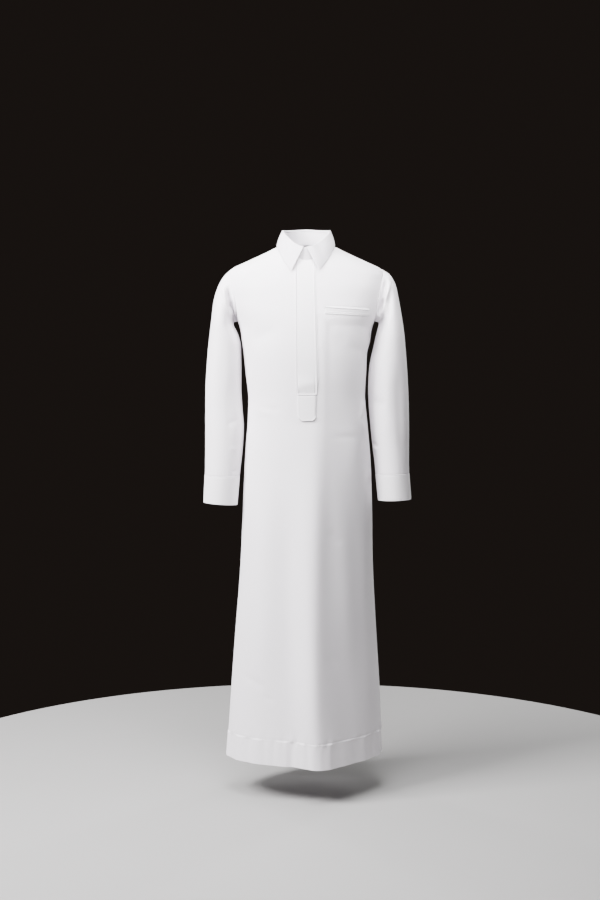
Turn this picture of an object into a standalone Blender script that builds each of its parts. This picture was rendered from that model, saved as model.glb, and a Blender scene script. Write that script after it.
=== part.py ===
"""Thobe robe in its worn, hollow form: front, back, yoke, set-in sleeves, cuffs, collar stand and leaf,
concealed placket with its stay, chest pocket welt and side pocket facings.

Frame: metres, +Z up, the front faces -Y, the wearer's left is +X. The origin is the centre of the neck's
base, level with the high shoulder points. Every piece is a wall of cloth with its own name and material.
"""

from math import pi

import bmesh
import bpy
import numpy as np

# ---------------------------------------------------------------- cloth and seams
CLOTH = 0.0012  # wall of one ply
DOUBLE = 0.0020  # wall of a piece sewn from two plies
HEM_CLOTH = 0.0026  # wall where the hem is turned up
GAP = 0.0004  # between the edges of two pieces of a seam
LIFT = 0.0003  # between a panel and what lies on it

# ---------------------------------------------------------------- driving heights and widths
HEM_Z = -1.427
HEM_TURN_UP = 0.070
HEM_STEP = 0.001  # height of the step inside, where the turn-up ends
CHEST_Z = -0.235  # from here down the rows are level
UNDERARM_Z = -0.203
YOKE_Z = -0.095  # seam between yoke and back
SHOULDER_X = 0.208  # shoulder point, from the middle
SEAM_FORWARD = 0.013  # the shoulder seam lies this far in front of the ridge
ROW_PITCH = 0.048  # rows of a body panel below the chest
TOP_Z, LOW_SHOULDER_Z = 0.016, -0.110  # the form's heights that a plan point is looked for between

# neckline, seen from above: an ellipse
NECK_HALF_WIDTH, NECK_MIDDLE_Y, NECK_HALF_DEPTH = 0.064, -0.008, 0.070

# ---------------------------------------------------------------- placket, stay and pockets
CROSS_SEAM_Z = -0.402  # the placket's lower end
STAY_END_Z = -0.476
STAY_CHAMFER = 0.010
PLACKET_TOP = 0.25  # share of the first row that is left free under the stand
WELT_HEIGHT = 0.018
WELT_ROWS = 6
WELT_Z = (-0.166, -0.1715)  # its top edge at the inner and the outer end
MOUTH_TOP_Z, MOUTH_END_Z = -0.425, -0.660  # side pocket's mouth
MOUTH_SET_BACK = 0.013  # how far the front's edge stands back from the side seam there


class Table:
    """A short table with named columns; its first column rises, and the others are read at any value of it."""

    def __init__(self, columns, rows):
        order = sorted(rows)
        self.columns = {name: np.array([row[k] for row in order], float)
                        for k, name in enumerate(columns.split())}
        self.knots = next(iter(self.columns.values()))

    def at(self, name, where):
        return smooth(where, self.knots, self.columns[name])


def smooth(where, knots, values):
    """Monotone cubic through the points of a table."""
    where = np.clip(where, knots[0], knots[-1])
    span = np.diff(knots)
    slope = np.diff(values) / span
    rising = slope[1:] * slope[:-1] > 0
    near, far = 2 * span[1:] + span[:-1], span[1:] + 2 * span[:-1]
    before, after = np.where(rising, slope[:-1], 1.0), np.where(rising, slope[1:], 1.0)
    mean = (near + far) / (near / before + far / after)
    tangent = np.concatenate([slope[:1], np.where(rising, mean, 0.0), slope[-1:]])
    k = np.clip(np.searchsorted(knots, where, side="right") - 1, 0, len(span) - 1)
    t = (where - knots[k]) / span[k]
    rise = 3 * t**2 - 2 * t**3
    start, end = t**3 - 2 * t**2 + t, t**3 - t**2
    return (values[k] * (1 - rise) + values[k + 1] * rise
            + span[k] * (tangent[k] * start + tangent[k + 1] * end))


# The body's level sections. half: half width; middle: x of its middle; front, back: depths from the side
# seams; the powers shape the superellipse (2 is an ellipse); lead: the right side's lead over the left.
BODY = Table("z half middle front back front_power back_power lead", [
    (0.016, 0.036, 0.0, 0.012, 0.054, 2.0, 2.0, 0.0),
    (0.012, 0.053, 0.0, 0.024, 0.062, 2.0, 2.0, 0.0),
    (0.008, 0.0665, 0.0, 0.035, 0.068, 2.0, 2.0, 0.0),
    (0.000, 0.085, 0.0, 0.047, 0.078, 2.0, 2.0, 0.0),
    (-0.012, 0.109, 0.0, 0.060, 0.088, 2.0, 2.0, 0.0),
    (-0.027, 0.141, 0.0, 0.071, 0.096, 2.0, 2.05, 0.0),
    (-0.042, 0.174, 0.0, 0.081, 0.102, 2.05, 2.1, 0.0),
    (-0.055, 0.202, 0.0, 0.0875, 0.107, 2.1, 2.2, 0.0),
    (-0.066, 0.217, 0.0, 0.092, 0.110, 2.15, 2.3, 0.0),
    (-0.080, 0.2225, 0.0, 0.097, 0.114, 2.2, 2.5, 0.0),
    (-0.112, 0.221, 0.0, 0.107, 0.119, 2.3, 2.7, 0.0),
    (-0.140, 0.214, 0.0, 0.113, 0.121, 2.3, 2.8, 0.0),
    (-0.165, 0.206, 0.0, 0.118, 0.122, 2.35, 2.8, 0.0),
    (-0.190, 0.1955, 0.0, 0.1215, 0.121, 2.4, 2.7, 0.0),
    (-0.226, 0.183, -0.0005, 0.125, 0.118, 2.4, 2.5, 0.0),
    (-0.261, 0.1775, -0.001, 0.1265, 0.115, 2.4, 2.4, 0.0),
    (-0.289, 0.1720, -0.0025, 0.127, 0.112, 2.4, 2.4, 0.0),
    (-0.345, 0.1677, -0.001, 0.125, 0.105, 2.35, 2.4, 0.0),
    (-0.417, 0.1625, 0.0015, 0.121, 0.100, 2.3, 2.3, 0.0),
    (-0.500, 0.1680, 0.0040, 0.119, 0.103, 2.25, 2.2, 0.0),
    (-0.600, 0.1757, 0.0042, 0.1195, 0.113, 2.2, 2.15, 0.0),
    (-0.700, 0.1802, 0.0038, 0.122, 0.119, 2.1, 2.1, 0.002),
    (-0.860, 0.1848, 0.0020, 0.127, 0.125, 2.0, 2.0, 0.005),
    (-1.100, 0.2002, -0.0008, 0.135, 0.136, 1.87, 1.9, 0.010),
    (-1.250, 0.2105, -0.0015, 0.1415, 0.143, 1.8, 1.82, 0.013),
    (HEM_Z, 0.2208, -0.0040, 0.148, 0.150, 1.75, 1.75, 0.015),
])

# Soft standing folds of the skirt, from their start down to the hem: side 1 is the front, -1 the back.
# start: height where it begins; x at the start, half way and at the hem; height at the hem; its spread.
FOLDS = [
    # side  start  x_start  x_half  x_hem  height  spread_right  spread_left
    (1, -0.480, -0.008, 0.022, 0.051, 0.046, 0.026, 0.050),
    (-1, -0.560, -0.052, -0.066, -0.080, 0.019, 0.042, 0.040),
    (-1, -0.600, 0.046, 0.062, 0.076, 0.016, 0.040, 0.044),
]
FOLD_GROWTH = 1.25

# Armhole below the yoke and below the shoulder seam: depth y at each height, front and back.
ARMHOLE_FRONT = [(-0.078, -0.034), (-0.100, -0.046), (-0.124, -0.052), (-0.148, -0.0525),
                 (-0.170, -0.048), (-0.188, -0.037), (-0.199, -0.020), (UNDERARM_Z, 0.0)]
ARMHOLE_BACK = [(YOKE_Z, 0.0555), (-0.120, 0.0600), (-0.145, 0.0605), (-0.168, 0.056),
                (-0.187, 0.043), (-0.199, 0.023), (UNDERARM_Z, 0.0)]
# Armhole over the shoulder, along the yoke: x and y.
ARMHOLE_TOP = [(0.208, -SEAM_FORWARD), (0.208, 0.000), (0.2085, 0.014), (0.209, 0.028), (0.2095, 0.042)]

# ---------------------------------------------------------------- columns of the body panels
SHOULDER_STEPS, NECK_STEPS = 5, 12  # columns of the yoke along a shoulder and round the back of the neck
BACK_COLUMNS = 2 * SHOULDER_STEPS + NECK_STEPS
PLACKET_LEFT, WELT_FROM, PLACKET_RIGHT, WELT_TO, FRONT_COLUMNS = 11, 17, 15, 23, 26
# x of the front's guiding columns: the placket's two edges and the welt's two ends.
GUIDES = Table("z placket_right placket_left welt_from welt_to", [
    (-0.020, -0.0260, 0.0205, 0.0300, 0.0560),
    (-0.040, -0.0260, 0.0205, 0.0315, 0.0760),
    (-0.092, -0.0260, 0.0208, 0.0400, 0.1300),
    (-0.130, -0.0258, 0.0215, 0.0480, 0.1580),
    (-0.165, -0.0256, 0.0224, 0.0520, 0.1700),
    (-0.190, -0.0255, 0.0232, 0.0500, 0.1700),
    (CHEST_Z, -0.0252, 0.0242, 0.0540, 0.1580),
    (CROSS_SEAM_Z, -0.0235, 0.0285, 0.0600, 0.1330),
    (STAY_END_Z, -0.0224, 0.0265, 0.0600, 0.1360),
    (-0.700, -0.0230, 0.0275, 0.0640, 0.1500),
    (HEM_Z, -0.0260, 0.0480, 0.0900, 0.1850),
])

# ---------------------------------------------------------------- sleeves
# Sections down the arm. The chord of each runs from its outer to its inner point; middle_y and the two
# depths give it its body. Ring 0 is the armhole; from ring 4 down the sections cross the arm.
SLEEVE_DEPTH = Table("ring middle_y front back power", [
    (0, 0.002, 0.0520, 0.0600, 2.2),
    (1, 0.003, 0.0570, 0.0630, 2.2),
    (2, 0.005, 0.0630, 0.0670, 2.2),
    (3, 0.007, 0.0690, 0.0720, 2.2),
    (4, 0.009, 0.0735, 0.0755, 2.2),
    (5, 0.010, 0.0745, 0.0765, 2.2),
    (6, 0.010, 0.0735, 0.0755, 2.15),
    (7, 0.010, 0.0710, 0.0730, 2.15),
    (8, 0.009, 0.0680, 0.0700, 2.1),
    (9, 0.007, 0.0650, 0.0670, 2.1),
    (10, 0.002, 0.0610, 0.0620, 2.1),
    (11, -0.004, 0.0550, 0.0560, 2.0),
    (12, -0.011, 0.0480, 0.0490, 1.95),
    (13, -0.015, 0.0445, 0.0445, 1.9),
    (14, -0.022, 0.0370, 0.0370, 1.8),
])
SLEEVE_COLUMNS = "ring outer_x outer_z inner_x inner_z"
RIGHT_SLEEVE = Table(SLEEVE_COLUMNS, [
    (0, 0.2080, -0.0585, 0.1905, -0.2030),
    (1, 0.2277, -0.0766, 0.1955, -0.2045),
    (2, 0.2448, -0.1051, 0.1990, -0.2065),
    (3, 0.2578, -0.1467, 0.2010, -0.2095),
    (4, 0.2653, -0.2039, 0.2015, -0.2150),
    (5, 0.2705, -0.2450, 0.1885, -0.2450),
    (6, 0.2740, -0.2750, 0.1820, -0.2750),
    (7, 0.2787, -0.3318, 0.1815, -0.3318),
    (8, 0.2820, -0.3900, 0.1820, -0.3900),
    (9, 0.2828, -0.4400, 0.1795, -0.4400),
    (10, 0.2829, -0.5000, 0.1750, -0.5000),
    (11, 0.2829, -0.5500, 0.1775, -0.5510),
    (12, 0.2831, -0.6000, 0.1830, -0.6020),
    (13, 0.2835, -0.6310, 0.1868, -0.6350),
    (14, 0.2866, -0.7081, 0.1937, -0.7147),
])
LEFT_SLEEVE = Table(SLEEVE_COLUMNS, [
    (0, 0.2080, -0.0585, 0.1905, -0.2030),
    (1, 0.2302, -0.0719, 0.1955, -0.2045),
    (2, 0.2490, -0.1037, 0.1990, -0.2065),
    (3, 0.2584, -0.1467, 0.2010, -0.2090),
    (4, 0.2688, -0.2050, 0.2015, -0.2140),
    (5, 0.2745, -0.2450, 0.1945, -0.2450),
    (6, 0.2772, -0.2750, 0.1880, -0.2750),
    (7, 0.2820, -0.3318, 0.1765, -0.3318),
    (8, 0.2855, -0.3900, 0.1735, -0.3900),
    (9, 0.2873, -0.4400, 0.1755, -0.4400),
    (10, 0.2883, -0.5000, 0.1805, -0.5000),
    (11, 0.2880, -0.5500, 0.1855, -0.5500),
    (12, 0.2877, -0.6000, 0.1915, -0.5990),
    (13, 0.2880, -0.6270, 0.1945, -0.6285),
    (14, 0.2932, -0.6994, 0.2020, -0.7022),
])
SLEEVE_ROWS = [0, 0.5, 1, 1.5, 2, 2.5, 3, 3.5, 4, 4.5, 5, 5.5, 6, 7, 8, 9, 10, 11, 12, 13]
CUFF_ROWS = [13, 13.5, 14]
ARMHOLE_REACH = 2.5  # rings over which the armhole's own shape fades out
# The trough beside the armhole where the cap folds over, in front and behind: angle from the outer
# point, half its width, its depth and the rings where it starts, is deepest and ends.
CAP_FOLDS = [
    # angle  spread  depth  start  deepest  end
    (2.42, 0.34, 0.0095, 0.5, 2.9, 5.2),
    (-2.45, 0.36, 0.0075, 0.5, 2.7, 5.0),
]

# ---------------------------------------------------------------- collar
STAND_HEIGHT = Table("angle height", [(0, 0.0290), (45, 0.0310), (90, 0.0330), (180, 0.0365)])
STAND_LEAN = 0.0010  # the stand's top lies this far inside its foot
LAP = 0.0024  # the outer end lies this far outside the inner one
LAP_START, LAP_FULL, LAP_END, UNDERLAP = 19, 15, 11, 14  # columns of the front under the stand's ends
LEAF_OVER_STAND = 0.0005
LEAF_RISE = 0.0018  # straight part above the stand, before the roll
ROLL = 0.0054  # from the leaf's middle inside to its middle outside
LEAF_MIDDLE = -3.0  # angle of the point between the two leaf ends, degrees
LEAF_END = 4.6  # each leaf ends this many degrees from there
LEAF_BOW = 0.0020
LEAF_SHIFT = -0.003  # the leaf points are moved to the right by this
LEAF_COLUMNS = 36
# Lower edge of the leaf's middle surface, by angle from the front, from the point to the back.
LEAF_EDGE = Table("angle x y z", [
    (LEAF_END, 0.0380, -0.0985, -0.0670),
    (22, 0.0500, -0.0865, -0.0500),
    (42, 0.0615, -0.0735, -0.0345),
    (62, 0.0710, -0.0550, -0.0160),
    (80, 0.0775, -0.0330, -0.0020),
    (100, 0.0800, -0.0080, 0.0055),
    (122, 0.0770, 0.0200, 0.0070),
    (145, 0.0610, 0.0480, 0.0075),
    (165, 0.0330, 0.0700, 0.0065),
    (180, 0.0000, 0.0770, 0.0060),
])

# ---------------------------------------------------------------- colours: name, colour, roughness
FINISHES = {
    "body_cloth": ((0.80, 0.79, 0.80), 0.72),
    "sewn_cloth": ((0.82, 0.81, 0.82), 0.70),
    "collar_cloth": ((0.83, 0.82, 0.83), 0.66),
}


# ================================================================ the body's form
def fold_height(side, x, z):
    """How far the standing folds of one side push the cloth out."""
    height = np.zeros(np.broadcast(x, z).shape)
    for fold_side, start, x_start, x_half, x_hem, tall, right, left in FOLDS:
        down = np.clip((start - z) / (start - HEM_Z), 0, 1)
        ridge_x = smooth(down, np.array([0, 0.5, 1]), np.array([x_start, x_half, x_hem]))
        spread = np.where(x < ridge_x, right, left)
        bump = tall * down**FOLD_GROWTH * np.exp(-0.5 * ((x - ridge_x) / spread) ** 2)
        height += np.where(side == fold_side, bump, 0.0)
    return height


def torso(angle, z):
    """Outer surface of the body: angle 0 at the right side seam, pi/2 in front, pi at the left one,
    and negative round the back."""
    cos, sin = np.cos(angle), np.sin(angle)
    side = np.where(sin >= 0, 1, -1)
    power = np.where(side > 0, BODY.at("front_power", z), BODY.at("back_power", z))
    depth = np.where(side > 0, BODY.at("front", z), BODY.at("back", z))
    half, middle = BODY.at("half", z), BODY.at("middle", z)
    across = np.sign(cos) * np.abs(cos) ** (2 / power)
    forward = np.abs(sin) ** (2 / power)
    x = middle - half * across
    out = depth * forward + fold_height(side, x, z) * np.minimum(1, 2 * forward)
    y = -side * out - BODY.at("lead", z) * across
    return np.stack([x, y, z + 0 * x], axis=-1)


def torso_normal(angle, z):
    """Outward normal of the body's surface, from two short chords."""
    step_a, step_z = 2e-3, 1e-3
    along = torso(angle + step_a, z) - torso(angle - step_a, z)
    down = torso(angle, z - step_z) - torso(angle, z + step_z)
    normal = np.cross(down, along)
    return normal / np.linalg.norm(normal, axis=-1, keepdims=True)


def angle_at_x(x, z, side=1):
    power = BODY.at("front_power" if side > 0 else "back_power", z)
    share = (x - BODY.at("middle", z)) / BODY.at("half", z)
    return side * np.arccos(np.clip(-np.sign(share) * np.abs(share) ** (power / 2), -1, 1))


def angle_at_y(y, z):
    """Angle near the right side seam where the level section reaches the depth y."""
    side = -1 if y > 0 else 1
    power = BODY.at("front_power" if side > 0 else "back_power", z)
    depth = BODY.at("front" if side > 0 else "back", z)
    return side * np.arcsin((abs(y) / depth) ** (power / 2))


def on_shoulders(x, y):
    """(angle, z) where the body's surface lies over a plan point of the shoulders, by halving."""
    x, y = np.broadcast_arrays(np.asarray(x, float), np.asarray(y, float))
    high, low = np.full(x.shape, TOP_Z), np.full(x.shape, LOW_SHOULDER_Z)
    front = y <= 0
    for _ in range(48):
        z = (high + low) / 2
        power = np.where(front, BODY.at("front_power", z), BODY.at("back_power", z))
        depth = np.where(front, BODY.at("front", z), BODY.at("back", z))
        inside = (np.abs(x) / BODY.at("half", z)) ** power + (np.abs(y) / depth) ** power < 1
        low, high = np.where(inside, z, low), np.where(inside, high, z)
    z = (high + low) / 2
    power = np.where(front, BODY.at("front_power", z), BODY.at("back_power", z))
    depth = np.where(front, BODY.at("front", z), BODY.at("back", z))
    cos = -np.sign(x) * (np.abs(x) / BODY.at("half", z)) ** (power / 2)
    sin = np.where(front, 1, -1) * (np.abs(y) / depth) ** (power / 2)
    return np.arctan2(sin, cos), z


def neck_plan(angle):
    """Neckline from above; angle 0 is in front and grows to the wearer's left."""
    return NECK_HALF_WIDTH * np.sin(angle), NECK_MIDDLE_Y - NECK_HALF_DEPTH * np.cos(angle)


def coons(top, bottom, left, right):
    """Grid (rows, columns, 2) spanned between four lines of (angle, z) or (x, y) pairs."""
    v = np.linspace(0, 1, len(left))[:, None, None]
    h = np.linspace(0, 1, len(top))[None, :, None]
    sides = (1 - h) * left[:, None] + h * right[:, None]
    ends = (1 - v) * top[None] + v * bottom[None]
    corners = ((1 - v) * ((1 - h) * top[0] + h * top[-1])
               + v * ((1 - h) * bottom[0] + h * bottom[-1]))
    return sides + ends - corners


def mirrored(line):
    """The same (angle, z) line on the other side of the middle."""
    other = np.array(line)
    other[:, 0] = np.where(other[:, 0] >= 0, pi - other[:, 0], -pi - other[:, 0])
    return other


def neck_side_angle():
    """Neck angle of the point where the shoulder seam meets the neckline."""
    return np.arccos((NECK_MIDDLE_Y + SEAM_FORWARD) / NECK_HALF_DEPTH)


def body_levels():
    """Heights of a body panel's rows below the chest: regular, with the seams' own rows among them."""
    fixed = [CROSS_SEAM_Z, STAY_END_Z + STAY_CHAMFER, STAY_END_Z, MOUTH_TOP_Z, MOUTH_END_Z,
             HEM_Z + HEM_TURN_UP, HEM_Z + HEM_TURN_UP - HEM_STEP, HEM_Z]
    count = round((CHEST_Z - HEM_Z) / ROW_PITCH)
    regular = [z for z in np.linspace(CHEST_Z, HEM_Z, count + 1)[1:-1]
               if min(abs(z - other) for other in fixed) > ROW_PITCH * 0.38]
    return np.array(sorted(fixed + regular, reverse=True))


def mouth(z):
    """How far the front stands back from the side seam, in the pocket's mouth."""
    along = np.clip((MOUTH_TOP_Z - z) / (MOUTH_TOP_Z - MOUTH_END_Z), 0, 1)
    return MOUTH_SET_BACK * np.sin(pi * along) ** 0.8


def shoulder_line():
    """(angle, z) along the right shoulder seam, from the neck to the shoulder point."""
    x = np.linspace(-NECK_HALF_WIDTH * np.sin(neck_side_angle()), -SHOULDER_X, SHOULDER_STEPS + 1)
    return np.stack(on_shoulders(x, np.full(len(x), -SEAM_FORWARD)), axis=1)


def guides_at(z):
    return [angle_at_x(GUIDES.at(name, z), z)
            for name in ("placket_right", "placket_left", "welt_from", "welt_to")]


def spread(anchors, count):
    """Values for columns 0 to count, straight between the anchored ones."""
    return np.interp(np.arange(count + 1), [k for k, _ in anchors], [v for _, v in anchors])


def guide_line(name, start, edge, share):
    """(angle, z) down a guiding column from the neckline to the chest row; its heights change from even
    ones to those of the panel's edge with the share."""
    even = np.linspace(0, 1, len(edge))
    like_edge = (edge[:, 1] - edge[0, 1]) / (edge[-1, 1] - edge[0, 1])
    z = start[1] + (CHEST_Z - start[1]) * ((1 - share) * even + share * like_edge)
    line = np.stack([angle_at_x(GUIDES.at(name, z), z), z], axis=1)
    line[0] = start
    return line


def front_parameters():
    """(angle, z) of every grid point of the front panel, spanned between its edges and guiding columns."""
    side = neck_side_angle()
    stops = [(PLACKET_LEFT, "placket_right", 0.0), (PLACKET_RIGHT, "placket_left", 0.0),
             (WELT_FROM, "welt_from", 0.15), (WELT_TO, "welt_to", 0.8)]
    neck_x = [(column, np.arcsin(GUIDES.at(name, TOP_Z) / NECK_HALF_WIDTH)) for column, name, _ in stops]
    around = spread([(0, -side), *neck_x, (FRONT_COLUMNS, side)], FRONT_COLUMNS)
    top = np.stack(on_shoulders(*neck_plan(around)), axis=1)
    armhole = np.array([(angle_at_y(y, z), z) for z, y in ARMHOLE_FRONT])
    edge = np.concatenate([shoulder_line(), armhole, [(0.0, CHEST_Z)]])
    chest = level_angles(CHEST_Z, FRONT_COLUMNS)
    bottom = np.stack([chest, np.full(FRONT_COLUMNS + 1, CHEST_Z)], axis=1)
    lines = [(0, edge), *[(column, guide_line(name, top[column], edge, share))
                          for column, name, share in stops], (FRONT_COLUMNS, mirrored(edge))]
    upper = np.empty((len(edge), FRONT_COLUMNS + 1, 2))
    for (first, left), (last, right) in zip(lines[:-1], lines[1:]):
        upper[:, first:last + 1] = coons(top[first:last + 1], bottom[first:last + 1], left, right)
    lower = [np.stack([level_angles(z, FRONT_COLUMNS), np.full(FRONT_COLUMNS + 1, z)], axis=1)
             for z in body_levels()]
    return np.concatenate([upper, lower])


def level_angles(z, count):
    edge = angle_at_y(-mouth(z), z) if mouth(z) > 0 else 0.0
    p_right, p_left, w_from, w_to = guides_at(z)
    return spread([(0, edge), (PLACKET_LEFT, p_right), (PLACKET_RIGHT, p_left), (WELT_FROM, w_from),
                   (WELT_TO, w_to), (count, pi - edge)], count)


def yoke_seam():
    """(angle, z) along the seam of yoke and back, as a line of plan points too."""
    corner = abs(angle_at_y(ARMHOLE_BACK[0][1], YOKE_Z))
    inner = abs(angle_at_x(-0.082, YOKE_Z, -1))
    angles = -spread([(0, corner), (SHOULDER_STEPS, inner), (SHOULDER_STEPS + NECK_STEPS, pi - inner),
                      (BACK_COLUMNS, pi - corner)], BACK_COLUMNS)
    return np.stack([angles, np.full(BACK_COLUMNS + 1, YOKE_Z)], axis=1)


def back_parameters():
    """(angle, z) of every grid point of the back, from the left side seam to the right one."""
    left = np.concatenate([[(angle_at_y(y, z), z) for z, y in ARMHOLE_BACK[:-1]],
                           [(-1e-9, UNDERARM_Z), (-1e-9, CHEST_Z)]])
    level = np.linspace(-1e-9, 1e-9 - pi, BACK_COLUMNS + 1)
    bottom = np.stack([level, np.full(len(level), CHEST_Z)], axis=1)
    upper = coons(yoke_seam(), bottom, left, mirrored(left))
    lower = [np.stack([level, np.full(len(level), z)], axis=1) for z in body_levels()]
    return np.concatenate([upper, lower])[:, ::-1]


def yoke_parameters():
    """The yoke is spanned in plan, where the shoulders are nearly level, and laid on the form."""
    side = neck_side_angle()
    seam = torso(*shoulder_line().T)[::-1, :2]
    neck = np.stack(neck_plan(-np.linspace(side, 2 * pi - side, NECK_STEPS + 1)), axis=1)
    other = seam[::-1] * (-1, 1)
    top = np.concatenate([seam[:-1], neck, other[1:]])
    below = yoke_seam()
    bottom = torso(*below.T)[:, :2]
    left = np.concatenate([np.array(ARMHOLE_TOP) * (-1, 1), bottom[:1]])
    plan = coons(top, bottom, left, left * (-1, 1))
    angle, z = on_shoulders(plan[..., 0], plan[..., 1])
    angle[-1], z[-1] = below.T
    return np.stack([angle, z], axis=-1)


# ================================================================ walls
def unit(vectors):
    return vectors / np.linalg.norm(vectors, axis=-1, keepdims=True)


def grid_normals(points, closed=False):
    """Normals of a grid (rows, columns, 3), from the neighbours of each point."""
    down = np.gradient(points, axis=0)
    if closed:
        across = np.roll(points, -1, axis=1) - np.roll(points, 1, axis=1)
    else:
        across = np.gradient(points, axis=1)
    return unit(np.cross(down, across))


def pulled_in(points, amount, top=True, bottom=True, sides=True):
    """The grid with its edges moved towards their neighbours, which opens the seams."""
    moved = points.copy()
    if sides:
        moved[:, 0] += unit(points[:, 1] - points[:, 0]) * amount
        moved[:, -1] += unit(points[:, -2] - points[:, -1]) * amount
    if top:
        moved[0] += unit(points[1] - points[0]) * amount
    if bottom:
        moved[-1] += unit(points[-2] - points[-1]) * amount
    return moved


def wall(name, outer, inner, finish, closed=False):
    """One closed solid between two grids of the same shape; closed joins the last column to the first."""
    rows, columns = outer.shape[:2]
    index = np.arange(rows * columns).reshape(rows, columns)
    if closed:
        index = np.concatenate([index, index[:, :1]], axis=1)
    a, b, c, d = index[:-1, :-1], index[:-1, 1:], index[1:, 1:], index[1:, :-1]
    skin = np.concatenate([np.stack(t, axis=-1).reshape(-1, 3) for t in ((a, c, b), (a, d, c))])
    under = skin[:, ::-1] + rows * columns

    def rim(line):
        p, q = line[:-1], line[1:]
        return np.concatenate([np.stack([p, q, q + rows * columns], axis=1),
                               np.stack([p, q + rows * columns, p + rows * columns], axis=1)])

    rims = [rim(index[0]), rim(index[-1][::-1])]
    if not closed:
        rims += [rim(index[::-1, 0]), rim(index[:, -1])]
    faces = np.concatenate([skin, under, *rims])
    mesh = bpy.data.meshes.new(name)
    mesh.from_pydata(np.concatenate([outer.reshape(-1, 3), inner.reshape(-1, 3)]).tolist(), [], faces.tolist())
    return finished(name, mesh, finish)


def finished(name, mesh, finish):
    """Faces outward, soft shading with its sharp edges kept, and the piece's own material."""
    shape = bmesh.new()
    shape.from_mesh(mesh)
    bmesh.ops.recalc_face_normals(shape, faces=shape.faces)
    if shape.calc_volume(signed=True) < 0:
        bmesh.ops.reverse_faces(shape, faces=shape.faces)
    shape.to_mesh(mesh)
    shape.free()
    mesh.shade_smooth()
    mesh.set_sharp_from_angle(angle=pi / 4)
    colour, roughness = FINISHES[finish]
    material = bpy.data.materials.new(name + "_" + finish)
    material.use_nodes = True
    shader = material.node_tree.nodes["Principled BSDF"]
    shader.inputs["Base Color"].default_value = (*colour, 1.0)
    shader.inputs["Roughness"].default_value = roughness
    shader.inputs["Metallic"].default_value = 0.0
    mesh.materials.append(material)
    piece = bpy.data.objects.new(name, mesh)
    bpy.context.scene.collection.objects.link(piece)
    return piece


def hemmed(parameters):
    """Thickness by row: one ply, and more below the turn-up's edge."""
    z = parameters[:, 0, 1]
    thick = np.where(z < HEM_Z + HEM_TURN_UP - HEM_STEP / 2, HEM_CLOTH, CLOTH)
    return thick[:, None, None]


def body_panels():
    """Front, yoke and back, on the one form. Returns each panel's points and normals for what joins it."""
    panels = {}
    for name, parameters, bottom in (("front_panel", front_parameters(), False),
                                     ("yoke", yoke_parameters(), True),
                                     ("back_panel", back_parameters(), False)):
        angle, z = parameters[..., 0], parameters[..., 1]
        points, normals = torso(angle, z), torso_normal(angle, z)
        thick = DOUBLE if name == "yoke" else hemmed(parameters)
        outer = pulled_in(points, GAP / 2, bottom=bottom)
        wall(name, outer, outer - normals * thick, "body_cloth")
        panels[name] = {"points": points, "normals": normals, "z": z, "outer": outer}
    return panels


# ================================================================ sleeves
def chord(sleeve, ring):
    """Outer and inner end of a sleeve section, on the side where x is positive."""
    middle_y = SLEEVE_DEPTH.at("middle_y", ring)
    ends = [np.stack([sleeve.at(end + "_x", ring), middle_y, sleeve.at(end + "_z", ring)], axis=-1)
            for end in ("outer", "inner")]
    return ends


def sleeve_ring(sleeve, angle, ring):
    """Point of a sleeve section: angle 0 at its outer point, pi/2 in front, pi at its inner point."""
    outer, inner = chord(sleeve, ring)
    middle, half = (outer + inner) / 2, (outer - inner) / 2
    power = SLEEVE_DEPTH.at("power", ring)
    cos, sin = np.cos(angle), np.sin(angle)
    depth = np.where(sin >= 0, SLEEVE_DEPTH.at("front", ring), SLEEVE_DEPTH.at("back", ring))
    along = (np.sign(cos) * np.abs(cos) ** (2 / power))[..., None] * half
    out = np.sign(sin) * np.abs(sin) ** (2 / power) * depth
    point = middle + along
    point[..., 1] -= out
    squeeze = np.zeros(np.broadcast(angle, ring).shape)
    for centre, width, deep, start, deepest, end in CAP_FOLDS:
        near = np.exp(-0.5 * ((np.angle(np.exp(1j * (angle - centre)))) / width) ** 2)
        along_it = np.interp(ring, [start, deepest, end], [0, 1, 0])
        squeeze += deep * near * along_it**2 * (3 - 2 * along_it)
    return point - unit(point - middle) * squeeze[..., None]


def armhole_loop(panels, side):
    """The armhole's points and normals, once round: from the underarm up the front, over and down the back."""
    edge, back_edge = (0, -1) if side < 0 else (-1, 0)
    front, yoke, back = panels["front_panel"], panels["yoke"], panels["back_panel"]
    first, last = SHOULDER_STEPS, SHOULDER_STEPS + len(ARMHOLE_FRONT)
    parts = [(front, slice(last, first - 1, -1), edge), (yoke, slice(1, None), edge),
             (back, slice(1, len(ARMHOLE_BACK) - 1), back_edge)]
    points = np.concatenate([panel["points"][rows, column] for panel, rows, column in parts])
    normals = np.concatenate([panel["normals"][rows, column] for panel, rows, column in parts])
    return points, normals


def sleeve_surface(sleeve, loop, side, rings):
    """Grid of a sleeve: the armhole's own shape, fading into the sections down the arm."""
    mirror = np.array([side, 1, 1])
    loop = loop * mirror
    outer, inner = chord(sleeve, 0.0)
    middle, half = (outer + inner) / 2, (outer - inner) / 2
    along = (loop - middle) @ half / (half @ half)
    angle = np.where(loop[:, 1] < middle[1], 1, -1) * np.arccos(np.clip(along, -1, 1))
    angle = np.unwrap(angle[::-1])[::-1] if angle[0] < 0 else np.unwrap(angle)
    rings = np.asarray(rings, float)[:, None]
    near = np.clip(1 - rings / ARMHOLE_REACH, 0, 1)
    keep = (near**2 * (3 - 2 * near))[..., None]
    even = angle[0] - np.arange(len(angle)) * (2 * pi / len(angle))
    turned = np.where(rings > ARMHOLE_REACH, even, angle * near + even * (1 - near))
    grid = sleeve_ring(sleeve, turned, rings + 0 * turned)
    grid += keep * (loop - sleeve_ring(sleeve, angle, np.zeros(len(angle))))
    return grid * mirror


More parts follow.
